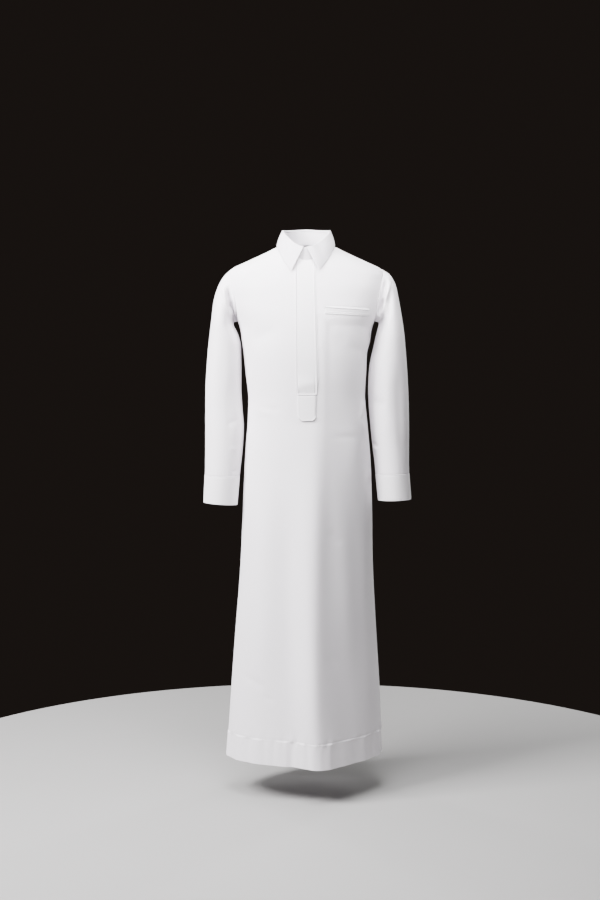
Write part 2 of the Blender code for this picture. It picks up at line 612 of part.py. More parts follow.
def sleeve_and_cuff(panels, side):
    """One sleeve, set into its armhole, and the cuff below it."""
    name, sleeve = ("left", LEFT_SLEEVE) if side > 0 else ("right", RIGHT_SLEEVE)
    loop, loop_normals = armhole_loop(panels, side)
    surface = sleeve_surface(sleeve, loop, side, SLEEVE_ROWS)
    normals = outward(grid_normals(surface, closed=True), surface)
    normals[0] = loop_normals
    step = unit(surface[1] - surface[0]) * GAP / 2
    outer = surface.copy()
    outer[0] += step + np.array([side, 0, 0]) * GAP / 2
    outer[-1] -= unit(surface[-1] - surface[-2]) * GAP / 2
    wall("sleeve_" + name, outer, outer - normals * CLOTH, "body_cloth", closed=True)

    surface = sleeve_surface(sleeve, loop, side, CUFF_ROWS)
    normals = outward(grid_normals(surface, closed=True), surface)
    outer = surface + normals * (DOUBLE - CLOTH) / 2
    outer[0] += unit(surface[1] - surface[0]) * GAP / 2
    wall("cuff_" + name, outer, outer - normals * DOUBLE, "sewn_cloth", closed=True)


def outward(normals, surface):
    """The tube's normals, turned away from its middle."""
    away = surface - surface.mean(axis=1, keepdims=True)
    sign = np.sign((normals * away).sum(axis=-1, keepdims=True).sum(axis=1, keepdims=True))
    return normals * sign


# ================================================================ placket, stay, pockets
def laid_on(name, points, normals, thickness, finish):
    """A piece over part of a panel: the panel's own points moved out, and again by its thickness."""
    foot = points + normals * LIFT
    wall(name, foot + normals * thickness, foot, finish)


def between(values, position):
    """Grid rows at a position counted in rows, straight between two of them."""
    k = int(position)
    share = position - k
    return values[k] * (1 - share) + values[min(k + 1, len(values) - 1)] * share


def placket_and_stay(front):
    points, normals, z = front["points"], front["normals"], front["z"]
    columns = slice(PLACKET_LEFT, PLACKET_RIGHT + 1)
    level = z[:, 0]
    seam = int(np.argmin(np.abs(level - CROSS_SEAM_Z)))
    end = int(np.argmin(np.abs(level - STAY_END_Z)))

    rows = [PLACKET_TOP] + list(range(1, seam + 1))
    cut_points = np.array([between(points, row)[columns] for row in rows])
    cut_normals = unit(np.array([between(normals, row)[columns] for row in rows]))
    cut_points[-1] += unit(cut_points[-2] - cut_points[-1]) * GAP / 2
    laid_on("placket", cut_points, cut_normals, DOUBLE, "sewn_cloth")

    cut_points = points[seam:end + 1, columns].copy()
    cut_normals = normals[seam:end + 1, columns].copy()
    cut_points[0] += unit(cut_points[1] - cut_points[0]) * GAP / 2
    for corner, inner in ((0, 1), (-1, -2)):
        run = cut_points[-1, inner] - cut_points[-1, corner]
        cut_points[-1, corner] += unit(run) * STAY_CHAMFER
    laid_on("placket_stay", cut_points, cut_normals, DOUBLE, "sewn_cloth")


def chest_welt(front):
    """The welt of the chest pocket, cut from the front's own columns between two heights."""
    columns = np.arange(WELT_FROM, WELT_TO + 1)
    top = np.linspace(*WELT_Z, len(columns))
    lines, line_normals = [], []
    for share in np.linspace(0, 1, WELT_ROWS + 1):
        row, row_normals = [], []
        for column, edge in zip(columns, top):
            down = -front["z"][:, column]
            position = np.interp(-(edge - share * WELT_HEIGHT), down, np.arange(len(down)))
            row.append(between(front["points"][:, column], position))
            row_normals.append(between(front["normals"][:, column], position))
        lines.append(row)
        line_normals.append(row_normals)
    laid_on("chest_pocket_welt", np.array(lines), unit(np.array(line_normals)), DOUBLE, "sewn_cloth")


def side_facings(front, back):
    """The pocket facings that show in the side mouths, just inside the panels they are sewn to."""
    level = front["z"][:, 0]
    first = int(np.argmin(np.abs(level - MOUTH_TOP_Z))) - 1
    last = int(np.argmin(np.abs(level - MOUTH_END_Z))) + 2
    shift = len(back["z"]) - len(front["z"])
    sides = {"right": [(back, -2), (back, -1), (front, 0), (front, 1)],
             "left": [(front, -2), (front, -1), (back, 0), (back, 1)]}
    for name, strips in sides.items():
        rows = {id(front): slice(first, last), id(back): slice(first + shift, last + shift)}
        points = np.stack([panel["points"][rows[id(panel)], column] for panel, column in strips], axis=1)
        normals = np.stack([panel["normals"][rows[id(panel)], column] for panel, column in strips], axis=1)
        outer = points - normals * (CLOTH + LIFT)
        wall("side_pocket_facing_" + name, outer, outer - normals * CLOTH, "sewn_cloth")


# ================================================================ collar
def stand_height(angle):
    folded = np.degrees(np.abs(np.angle(np.exp(1j * angle))))
    return STAND_HEIGHT.at("height", folded)


def plan_outward(angle):
    """Outward direction of the neckline seen from above."""
    out = np.stack([np.sin(angle) * NECK_HALF_DEPTH, -np.cos(angle) * NECK_HALF_WIDTH, 0 * angle], axis=-1)
    return unit(out)


def collar_stand(front):
    """A band on the neckline; its left end laps outside its right one in front."""
    side = neck_side_angle()
    neck = np.arctan2(front["points"][0, :, 0] / NECK_HALF_WIDTH,
                      (NECK_MIDDLE_Y - front["points"][0, :, 1]) / NECK_HALF_DEPTH)
    round_back = -np.linspace(side, 2 * pi - side, NECK_STEPS + 1)[1:-1]
    angle = np.concatenate([neck[UNDERLAP::-1], round_back, neck[:LAP_END - 1:-1] - 2 * pi])
    column = np.concatenate([np.zeros(UNDERLAP + 1 + len(round_back)),
                             np.interp(np.arange(FRONT_COLUMNS, LAP_END - 1, -1),
                                       [LAP_FULL, LAP_START], [1, 0])])
    lap = (LAP * column**2 * (3 - 2 * column))[:, None]
    foot_angle, foot_z = on_shoulders(*neck_plan(angle))
    out, up = plan_outward(angle), np.array([0.0, 0.0, 1.0])
    foot = torso(foot_angle, foot_z) + up * GAP - out * GAP / 2 + out * lap
    top = foot - out * STAND_LEAN + up * stand_height(angle)[:, None]
    rows = np.stack([foot, (foot + top) / 2, top])
    normals = np.stack([torso_normal(foot_angle, foot_z), out, out])
    normals[0][lap[:, 0] > 0] = out[lap[:, 0] > 0]
    wall("collar_stand", rows, rows - normals * DOUBLE, "collar_cloth")


def leaf_path(angle):
    """The leaf's middle surface, from over the stand, round the roll and down to its edge."""
    front_share = np.clip(1 - np.degrees(np.abs(np.angle(np.exp(1j * angle)))) / 30, 0, 1)[:, None]
    on_left = (np.angle(np.exp(1j * (angle - np.radians(LEAF_MIDDLE)))) > 0)[:, None]
    lap = LAP * front_share**0.5
    out, up = plan_outward(angle), np.array([0.0, 0.0, 1.0])
    x, y = neck_plan(angle)
    _, foot_z = on_shoulders(x, y)
    foot = np.stack([x, y, foot_z], axis=-1) + up * GAP
    inside = foot - out * (STAND_LEAN + DOUBLE / 2) + np.where(on_left, lap, 0) * out
    start = inside + up * (stand_height(angle)[:, None] + LEAF_OVER_STAND)
    radius = (ROLL + lap) / 2
    centre = start + up * LEAF_RISE + out * radius
    path = [start]
    for turn in np.linspace(pi, 0, 6):
        path.append(centre + (out * np.cos(turn) + up * np.sin(turn)) * radius)
    away = np.degrees(np.abs(np.angle(np.exp(1j * (angle - np.radians(LEAF_MIDDLE))))))
    sign = np.where(on_left[:, 0], 1, -1)
    shift = LEAF_SHIFT * np.cos(np.radians(away) / 2) ** 2
    edge = np.stack([sign * LEAF_EDGE.at("x", away) + shift, LEAF_EDGE.at("y", away),
                     LEAF_EDGE.at("z", away)], axis=-1)
    rolled = path[-1]
    for share in (0.2, 0.4, 0.6, 0.8, 1.0):
        bow = out * LEAF_BOW * 4 * share * (1 - share)
        path.append(rolled * (1 - share) + edge * share + bow)
    return np.stack(path)


def collar_leaf():
    turn = np.radians(LEAF_MIDDLE) - np.radians(np.linspace(LEAF_END, 360 - LEAF_END, LEAF_COLUMNS + 1))
    path = leaf_path(turn)
    normals = grid_normals(path)
    outside = (normals[-1] * plan_outward(turn)).sum()
    normals *= np.sign(outside)
    wall("collar_leaf", path + normals * DOUBLE / 2, path - normals * DOUBLE / 2, "collar_cloth")


def main():
    for item in list(bpy.data.objects):
        bpy.data.objects.remove(item)
    panels = body_panels()
    for side in (-1, 1):
        sleeve_and_cuff(panels, side)
    placket_and_stay(panels["front_panel"])
    chest_welt(panels["front_panel"])
    side_facings(panels["front_panel"], panels["back_panel"])
    collar_stand(panels["front_panel"])
    collar_leaf()


main()
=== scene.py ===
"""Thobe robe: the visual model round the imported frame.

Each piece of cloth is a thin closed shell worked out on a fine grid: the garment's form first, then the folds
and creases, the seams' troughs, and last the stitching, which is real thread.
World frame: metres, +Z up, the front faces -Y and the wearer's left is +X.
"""

import logging
from collections.abc import Callable, Mapping
from dataclasses import dataclass
from enum import Enum
from functools import partial
from math import pi, radians
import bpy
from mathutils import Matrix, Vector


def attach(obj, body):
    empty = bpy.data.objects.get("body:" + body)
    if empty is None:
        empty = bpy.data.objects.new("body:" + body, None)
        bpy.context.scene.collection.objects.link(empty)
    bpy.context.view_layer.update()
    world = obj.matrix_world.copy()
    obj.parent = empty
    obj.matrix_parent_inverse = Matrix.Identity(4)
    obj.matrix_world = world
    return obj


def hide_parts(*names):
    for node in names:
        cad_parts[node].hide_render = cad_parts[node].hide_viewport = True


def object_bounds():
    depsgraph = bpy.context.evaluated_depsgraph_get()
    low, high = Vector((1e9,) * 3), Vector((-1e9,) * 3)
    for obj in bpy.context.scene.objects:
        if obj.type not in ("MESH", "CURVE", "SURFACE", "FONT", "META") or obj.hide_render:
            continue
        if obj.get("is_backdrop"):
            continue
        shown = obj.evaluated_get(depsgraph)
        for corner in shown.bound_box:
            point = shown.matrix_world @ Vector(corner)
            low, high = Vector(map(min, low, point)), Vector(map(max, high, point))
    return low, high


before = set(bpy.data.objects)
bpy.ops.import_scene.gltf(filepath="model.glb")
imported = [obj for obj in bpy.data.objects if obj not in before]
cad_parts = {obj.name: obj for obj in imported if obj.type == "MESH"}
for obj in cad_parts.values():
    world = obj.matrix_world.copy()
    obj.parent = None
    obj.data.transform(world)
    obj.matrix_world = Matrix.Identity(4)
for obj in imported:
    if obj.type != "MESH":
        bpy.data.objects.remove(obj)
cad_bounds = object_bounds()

from types import MappingProxyType
from typing import ClassVar

import bpy
import numpy as np
from mathutils import Vector

Array = np.ndarray
Pair = tuple[Array, Array]
Point = tuple[float, float]
Place = tuple[float, float, float]
UP = np.array([0.0, 0.0, 1.0])
log = logging.getLogger("thobe")


class Slot(Enum):
    """The record's material slots."""

    BODY = "body_cloth"
    SEWN = "sewn_cloth"
    COLLAR = "collar_cloth"


class Side(Enum):
    """The wearer's sides; the value is the sign of x."""

    LEFT = 1
    RIGHT = -1

    @property
    def word(self) -> str:
        """The side's name in lower case."""
        return self.name.lower()


class Held(Enum):
    """How a sheet is held."""

    HUNG = "hung"
    LAID = "laid"
    FOLDED = "folded"


# ============================================================================ numbers and grids
def ramp(t: Array) -> Array:
    """Smoothstep: 3t^2 - 2t^3 of t held between 0 and 1."""
    t = np.clip(t, 0.0, 1.0)
    return t * t * (3 - 2 * t)


def bump(place: Array, height: Array | float, middle: float, width: float) -> Array:
    """Bell curve: the full height at the middle, and 1/e of it a width away."""
    return height * np.exp(-(((place - middle) / width) ** 2))


def unit(vectors: Array) -> Array:
    """Vectors divided by their lengths."""
    return vectors / np.maximum(np.linalg.norm(vectors, axis=-1, keepdims=True), 1e-12)


def wrapped(angle: Array) -> Array:
    """The same angle, told between -pi and pi."""
    return np.angle(np.exp(1j * angle))


def eased(count: int, gather: float) -> Array:
    """Shares 0 to 1 in count steps that gather at both ends: t - gather * sin(2 pi t) / 2 pi."""
    t = np.linspace(0.0, 1.0, count + 1)
    return t - gather * np.sin(2 * pi * t) / (2 * pi)


def stepped(*runs: tuple[float, float, int]) -> Array:
    """Places along several runs, each (start, end, steps), with the joints between runs told once."""
    parts = [np.linspace(start, end, steps + 1)[1:] for start, end, steps in runs]
    return np.concatenate([[runs[0][0]], *parts])


def between(start: Point, end: Point, share: Array) -> Pair:
    """Both coordinates of the points at shares of the way from start to end."""
    return tuple(a + (b - a) * share for a, b in zip(start, end))


def reach(points: Array, axis: int = 0) -> Array:
    """Running distance from the first point, along one axis of a line or grid of points."""
    steps = np.linalg.norm(np.diff(points, axis=axis), axis=-1).cumsum(axis=axis)
    return np.insert(steps, 0, 0.0, axis=axis)


def nearest(*distances: Array) -> Array:
    """The smallest of several distances at each point."""
    return np.minimum.reduce(np.broadcast_arrays(*distances))


def cells(grid: Array) -> Array:
    """The four corners of each cell of a grid, taken round the cell."""
    corners = grid[:-1, :-1], grid[:-1, 1:], grid[1:, 1:], grid[1:, :-1]
    return np.stack([corner.reshape(-1, *grid.shape[2:]) for corner in corners], axis=1)


def smooth(where: Array, knots: Array, values: Array) -> Array:
    """Monotone cubic through points: Hermite pieces whose slopes are harmonic means of the chords' slopes.

    Args:
        where: Places to read, clipped to the knots' range.
        knots: Rising places of the points.
        values: Values there.

    Returns:
        The cubic's value at each place.
    """
    where = np.clip(where, knots[0], knots[-1])
    span = np.diff(knots)
    slope = np.diff(values) / span
    rising = slope[1:] * slope[:-1] > 0
    near, far = 2 * span[1:] + span[:-1], span[1:] + 2 * span[:-1]
    before, after = np.where(rising, slope[:-1], 1.0), np.where(rising, slope[1:], 1.0)
    mean = (near + far) / (near / before + far / after)
    tangent = np.concatenate([slope[:1], np.where(rising, mean, 0.0), slope[-1:]])
    k = np.clip(np.searchsorted(knots, where, side="right") - 1, 0, len(span) - 1)
    t = (where - knots[k]) / span[k]
    rise, start, end = ramp(t), t**3 - 2 * t**2 + t, t**3 - t**2
    slopes = tangent[k] * start + tangent[k + 1] * end
    return values[k] * (1 - rise) + values[k + 1] * rise + span[k] * slopes


def wave(seed: int, place: Array, length: float, octaves: int) -> Array:
    """Smooth uneven wave: a sum of sines whose lengths and phases come from a seeded draw.

    Args:
        seed: Seed of the draw.
        place: Places in metres.
        length: Longest wave length in metres.
        octaves: How many sets of sines are added, each of half the length of the one before.

    Returns:
        Values of about -1 to 1.
    """
    draw = np.random.default_rng(seed)
    total = np.zeros(np.shape(place))
    for octave in range(octaves):
        for _ in range(3):
            span = length / 2**octave * draw.uniform(0.7, 1.4)
            total = total + np.sin(2 * pi * place / span + draw.uniform(0, 2 * pi)) / (3 * 1.6**octave)
    return total


def halved(span: Point, shape: tuple[int, ...], holds: Callable[[Array], Array], steps: int) -> Array:
    """Find where a test stops to hold between two values, by halving the span between them.

    Args:
        span: A value where the test holds, and one where it doesn't.
        shape: Shape of the places to find.
        holds: The test of an array of values.
        steps: Number of halvings.

    Returns:
        The last values where the test holds.
    """
    low, high = (np.full(shape, end) for end in span)
    for _ in range(steps):
        middle = (low + high) / 2
        kept = holds(middle)
        low, high = np.where(kept, middle, low), np.where(kept, high, middle)
    return low


def spanned(top: Array, bottom: Array, left: Array, right: Array, down: Array, across: Array) -> Array:
    """Grid spanned between four lines: ruled both ways, less the ruled corners.

    Args:
        top: Line (columns, 2) from the left to the right corner, or one for each row (rows, columns, 2).
        bottom: As top, below it.
        left: Line (rows, 2) from the top to the bottom corner.
        right: As left, beside it.
        down: Share of the way down of each row.
        across: Share of the way across of each column, or of each grid point.

    Returns:
        Grid (rows, columns, 2).
    """
    v, h = down[:, None, None], across[..., None]
    sides = (1 - h) * left[:, None] + h * right[:, None]
    corners = (1 - v) * ((1 - h) * left[0] + h * right[0]) + v * ((1 - h) * left[-1] + h * right[-1])
    return sides + (1 - v) * top + v * bottom - corners


def numbers(text: str) -> list[list[float]]:
    """The rows of numbers in a block of text."""
    return [[float(cell) for cell in line.split()] for line in text.strip().splitlines()]


class Table:
    """A short table with named columns, read by a monotone cubic along its first column."""

    def __init__(self, columns: str, text: str):
        """Take the columns' names and the rows of numbers."""
        self.columns = columns.split()
        self.values = np.array(sorted(numbers(text)))

    def at(self, name: str, where: Array | float) -> Array:
        """The named column's value at places of the first column."""
        return smooth(np.asarray(where, float), self.values[:, 0], self.values[:, self.columns.index(name)])


@dataclass(frozen=True)
class Crease:
    """A soft ridge (height over 0) or trough (under 0) along a line in a piece's own flat coordinates."""

    start: Point
    end: Point
    width: float
    height: float
    bend: float = 0.0
    fade: float = 0.35

    def lift(self, u: Array, v: Array) -> Array:
        """Bell curve across the line times a soft start and end along it; the line bows by bend.

        Args:
            u: First flat coordinate, in metres.
            v: Second flat coordinate, in metres.

        Returns:
            Height of the cloth there, in metres.
        """
        run = np.subtract(self.end, self.start)
        length = float(np.hypot(*run))
        du, dv = u - self.start[0], v - self.start[1]
        along = (du * run[0] + dv * run[1]) / length**2
        aside = (du * run[1] - dv * run[0]) / length - self.bend * 4 * along * (1 - along)
        ends = ramp(along / self.fade) * ramp((1 - along) / self.fade)
        return self.height * np.exp(-0.5 * (aside / self.width) ** 2) * ends


Creases = tuple[Crease, ...]


def creases(text: str) -> Creases:
    """Creases from rows of text: both coordinates of the start and the end, width, height, bend, fade."""
    return tuple(Crease((a, b), (c, d), *shape) for a, b, c, d, *shape in numbers(text))


def creased(lines: Creases, u: Array, v: Array) -> Array:
    """The heights of several creases added up."""
    return sum(crease.lift(u, v) for crease in lines)


# ============================================================================ the cloth's sizes
@dataclass(frozen=True)
class ClothSizes:
    """Thicknesses and distances that all the pieces share, in metres."""

    ply: float = 0.0010
    double: float = 0.0017
    hem: float = 0.0019
    seam_gap: float = 0.00012
    seam_depth: float = 0.0007
    seam_width: float = 0.0016
    lift: float = 0.0004


@dataclass(frozen=True)
class Levels:
    """Heights and plan sizes that the body's pieces share, in metres."""

    hem: float = -1.427
    stitched: float = -1.357  # the hem's stitching, at the top of the turn-up
    chest: float = -0.235
    underarm: float = -0.203
    yoke_seam: float = -0.095
    shoulder_x: float = 0.208
    seam_forward: float = 0.013
    top: float = 0.016
    low_shoulder: float = -0.110
    neck_half_width: float = 0.064
    neck_middle_y: float = -0.008
    neck_half_depth: float = 0.070
    cross_seam: float = -0.402
    stay_end: float = -0.476
    mouth_top: float = -0.425
    mouth_end: float = -0.660
    mouth_set_back: float = 0.013

    @property
    def neck_side(self) -> float:
        """Neck angle where the shoulder seam meets the neckline."""
        return float(np.arccos((self.neck_middle_y + self.seam_forward) / self.neck_half_depth))

    def neck_plan(self, angle: Array) -> Pair:
        """Neckline seen from above, an ellipse; angle 0 is in front and grows to the wearer's left."""
        return self.neck_half_width * np.sin(angle), self.neck_middle_y - self.neck_half_depth * np.cos(angle)

    def neck_outward(self, angle: Array) -> Array:
        """Level outward direction of the neckline's ellipse."""
        side = np.sin(angle) * self.neck_half_depth
        return unit(np.stack([side, -np.cos(angle) * self.neck_half_width, 0 * angle], axis=-1))


CLOTH = ClothSizes()
LEVELS = Levels()
BODY_SECTIONS = Table("z half middle front back front_power back_power lead", """
     0.016  0.036       0  0.012 0.054    2    2     0
     0.012  0.053       0  0.024 0.062    2    2     0
     0.008 0.0665       0  0.035 0.068    2    2     0
         0  0.085       0  0.047 0.078    2    2     0
    -0.012  0.109       0   0.06 0.088    2    2     0
    -0.027  0.141       0  0.071 0.096    2 2.05     0
    -0.042  0.174       0  0.081 0.102 2.05  2.1     0
    -0.055  0.202       0 0.0875 0.107  2.1  2.2     0
    -0.066  0.217       0  0.092  0.11 2.15  2.3     0
     -0.08 0.2225       0  0.097 0.114  2.2  2.5     0
    -0.112  0.221       0  0.107 0.119  2.3  2.7     0
     -0.14  0.214       0  0.113 0.121  2.3  2.8     0
    -0.165  0.206       0  0.118 0.122 2.35  2.8     0
     -0.19 0.1955       0 0.1215 0.121  2.4  2.7     0
    -0.226  0.183 -0.0005  0.125 0.118  2.4  2.5     0
    -0.261 0.1775  -0.001 0.1265 0.115  2.4  2.4     0
    -0.289  0.172 -0.0025  0.127 0.112  2.4  2.4     0
    -0.345 0.1677  -0.001  0.125 0.105 2.35  2.4     0
    -0.417 0.1625  0.0015  0.121   0.1  2.3  2.3     0
      -0.5  0.168   0.004  0.119 0.103 2.25  2.2     0
      -0.6 0.1757  0.0042 0.1195 0.113  2.2 2.15     0
      -0.7 0.1802  0.0038  0.122 0.119  2.1  2.1 0.002
     -0.86 0.1848   0.002  0.127 0.125    2    2 0.005
      -1.1 0.2002 -0.0008  0.135 0.136 1.87  1.9  0.01
     -1.25 0.2105 -0.0015 0.1415 0.143  1.8 1.82 0.013
    -1.427 0.2208  -0.004  0.148  0.15 1.75 1.75 0.015
""")


@dataclass(frozen=True)
class StandingFold:
    """A soft fold of the skirt that grows from its start down to the hem."""

    front: bool
    start: float
    path: Place
    height: float
    spread_right: float
    spread_left: float
    growth: float = 1.25

    def push(self, front: Array, x: Array, z: Array) -> Array:
        """Bell curve about the fold's line, its own on each side, times a power of the way down."""
        down = np.clip((self.start - z) / (self.start - LEVELS.hem), 0, 1)
        line = smooth(down, np.array([0, 0.5, 1]), np.array(self.path))
        spread = np.where(x < line, self.spread_right, self.spread_left)
        bulge = self.height * down**self.growth * np.exp(-0.5 * ((x - line) / spread) ** 2)
        return np.where(front == self.front, bulge, 0.0)


@dataclass(frozen=True)
class BodyForm:
    """The robe's body as one surface of an angle round it and a height.

    Angle 0 is the wearer's right side seam, pi/2 the middle of the front, pi the left side seam, and the
    angles under 0 go round the back.
    """

    sections: Table
    folds: tuple[StandingFold, ...]
    front_creases: Creases
    back_creases: Creases

    def _depth(self, front: Array | bool, z: Array) -> Pair:
        """Depth and power of the level section, for the front or the back."""
        at = self.sections.at
        power = np.where(front, at("front_power", z), at("back_power", z))
        return np.where(front, at("front", z), at("back", z)), power

    def plain(self, angle: Array, z: Array) -> Array:
        """Superellipse |x/w|^n + |y/d|^n = 1 at each height, plus the standing folds and the sides' lead."""
        angle, z = np.broadcast_arrays(np.asarray(angle, float), np.asarray(z, float))
        cos, sin = np.cos(angle), np.sin(angle)
        front = sin >= 0
        depth, power = self._depth(front, z)
        across = np.sign(cos) * np.abs(cos) ** (2 / power)
        forward = np.abs(sin) ** (2 / power)
        x = self.sections.at("middle", z) - self.sections.at("half", z) * across
        push = sum(fold.push(front, x, z) for fold in self.folds)
        out = depth * forward + push * np.minimum(1, 2 * forward)
        y = np.where(front, -out, out) - self.sections.at("lead", z) * across
        return np.stack([x, y, z], axis=-1)

    def surface(self, angle: Array, z: Array) -> Array:
        """The plain form moved along its normal by the creases, which fade out towards the side seams."""
        base = self.plain(angle, z)
        x, height = base[..., 0], base[..., 2]
        front = creased(self.front_creases, x, height)
        lift = np.where(np.sin(angle) >= 0, front, creased(self.back_creases, x, height))
        lift = lift * ramp(np.abs(np.sin(angle)) * 4)
        return base + self._across(self.plain, angle, z) * lift[..., None]

    def normal(self, angle: Array, z: Array) -> Array:
        """Outward normal of the creased surface."""
        return self._across(self.surface, angle, z)

    def raised(self, angle: Array, z: Array, height: Array | float = 0.0) -> Pair:
        """Points of the creased surface moved out by a height, and the normals there."""
        normals = self.normal(angle, z)
        return self.surface(angle, z) + normals * np.asarray(height)[..., None], normals

    @staticmethod
    def _across(surface: Callable[[Array, Array], Array], angle: Array, z: Array) -> Array:
        """Cross product of a short chord down and a short chord round the surface."""
        angle, z = np.broadcast_arrays(np.asarray(angle, float), np.asarray(z, float))
        step_round, step_down = 1.5e-3, 6e-4
        along = surface(angle + step_round, z) - surface(angle - step_round, z)
        down = surface(angle, z - step_down) - surface(angle, z + step_down)
        return unit(np.cross(down, along))

    def angle_at_x(self, x: Array, z: Array) -> Array:
        """Angle on the front where the plain level section has the width x."""
        _, power = self._depth(True, z)
        share = (x - self.sections.at("middle", z)) / self.sections.at("half", z)
        return np.arccos(np.clip(-np.sign(share) * np.abs(share) ** (power / 2), -1, 1))

    def angle_at_y(self, y: Array, z: Array) -> Array:
        """Angle near the right side seam where the level section reaches the depth y."""
        y = np.asarray(y, float)
        depth, power = self._depth(y <= 0, z)
        return np.where(y <= 0, 1, -1) * np.arcsin(np.clip(np.abs(y) / depth, 0, 1) ** (power / 2))

    def on_shoulders(self, x: Array, y: Array) -> Pair:
        """Angle and height of the form over a plan point of the shoulders, found by halving the height.

        Args:
            x: Plan x.
            y: Plan y.

        Returns:
            Angle and z, in arrays of the same shape.
        """
        x, y = np.broadcast_arrays(np.asarray(x, float), np.asarray(y, float))
        front = y <= 0

        def shares(z: Array) -> Pair:
            """Powers of the point's share of the section's half width and of its depth."""
            depth, power = self._depth(front, z)
            half = self.sections.at("half", z)
            return (np.abs(x) / half) ** (power / 2), (np.abs(y) / depth) ** (power / 2)

        def inside(z: Array) -> Array:
            """Whether the point lies in the section at a height."""
            across, deep = shares(z)
            return across**2 + deep**2 < 1

        z = halved((LEVELS.low_shoulder, LEVELS.top), x.shape, inside, 40)
        across, deep = shares(z)
        return np.arctan2(np.where(front, 1, -1) * deep, -np.sign(x) * across), z


def mirrored(line: Array) -> Array:
    """The same (angle, z) line on the other side of the middle."""
    other = np.array(line)
    other[:, 0] = np.where(other[:, 0] >= 0, pi - other[:, 0], -pi - other[:, 0])
    return other


@dataclass(frozen=True)
class SeamLines:
    """The body's seams as (angle, z) lines on the form, on the wearer's right; the left ones are mirrored.

    The front and back armholes are given as rows of height and depth, and the top one as rows of x and y.
    """

    form: BodyForm
    front_armhole: str = """
        -0.0566  -0.013
         -0.078  -0.034
           -0.1  -0.046
         -0.124  -0.052
         -0.148 -0.0525
          -0.17  -0.048
         -0.188  -0.037
         -0.199   -0.02
         -0.203       0
    """
    back_armhole: str = """
        -0.095 0.0555
         -0.12   0.06
        -0.145 0.0605
        -0.168  0.056
        -0.187  0.043
        -0.199  0.023
        -0.203      0
    """
    top_armhole: str = """
         0.208 -0.013
         0.208      0
        0.2085  0.014
         0.209  0.028
        0.2095  0.042
    """

    @staticmethod
    def _along(points: list[list[float]], share: Array) -> Pair:
        """Both coordinates of a line of points, read by a monotone cubic of the point's number."""
        knots, values = np.arange(len(points), dtype=float), np.array(points)
        place = share * (len(points) - 1)
        return smooth(place, knots, values[:, 0]), smooth(place, knots, values[:, 1])

    def shoulder(self, share: Array) -> Array:
        """Shoulder seam from the neckline to the shoulder point."""
        x = -LEVELS.neck_half_width * np.sin(LEVELS.neck_side)
        x = x + (-LEVELS.shoulder_x - x) * share
        return np.stack(self.form.on_shoulders(x, np.full(len(share), -LEVELS.seam_forward)), axis=1)

    def armhole_front(self, share: Array) -> Array:
        """Front armhole from the shoulder point to the underarm."""
        z, y = self._along(numbers(self.front_armhole), np.append(share, 0.0))
        line = np.stack([self.form.angle_at_y(y, z), z], axis=1)
        first = self.shoulder(np.array([1.0]))[0]
        return line[:-1] + (first - line[-1]) * ramp(1 - share * 6)[:, None]

    def armhole_back(self, share: Array) -> Array:
        """Back armhole from the yoke seam to the underarm."""
        z, y = self._along(numbers(self.back_armhole), share)
        return np.stack([self.form.angle_at_y(y, z), z], axis=1)

    def armhole_top(self, share: Array) -> Array:
        """Armhole over the shoulder, from the shoulder seam to the yoke seam, as plan x and y."""
        corner = self.form.plain(*self.yoke_seam(np.array([0.0])).T)[0]
        x, y = self._along([*numbers(self.top_armhole), [-corner[0], corner[1]]], share)
        return np.stack([-x, y], axis=1)

    def yoke_seam(self, share: Array) -> Array:
        """Seam of yoke and back, from right to left."""
        start = float(self.armhole_back(np.array([0.0]))[0, 0])
        return np.stack([start - (pi + 2 * start) * share, np.full(len(share), LEVELS.yoke_seam)], axis=1)

    def mouth(self, z: Array) -> Array:
        """How far the front stands back from the side seam in the pocket's mouth: a flat sine arch."""
        along = np.clip((LEVELS.mouth_top - z) / (LEVELS.mouth_top - LEVELS.mouth_end), 0, 1)
        return LEVELS.mouth_set_back * np.sin(pi * along) ** 0.8

    def side_front(self, z: Array) -> Array:
        """The front's side edge at each height."""
        return self.form.angle_at_y(-self.mouth(z), z)


# ============================================================================ finishes
Socket = bpy.types.NodeSocket
Inputs = Mapping[str | int, object]


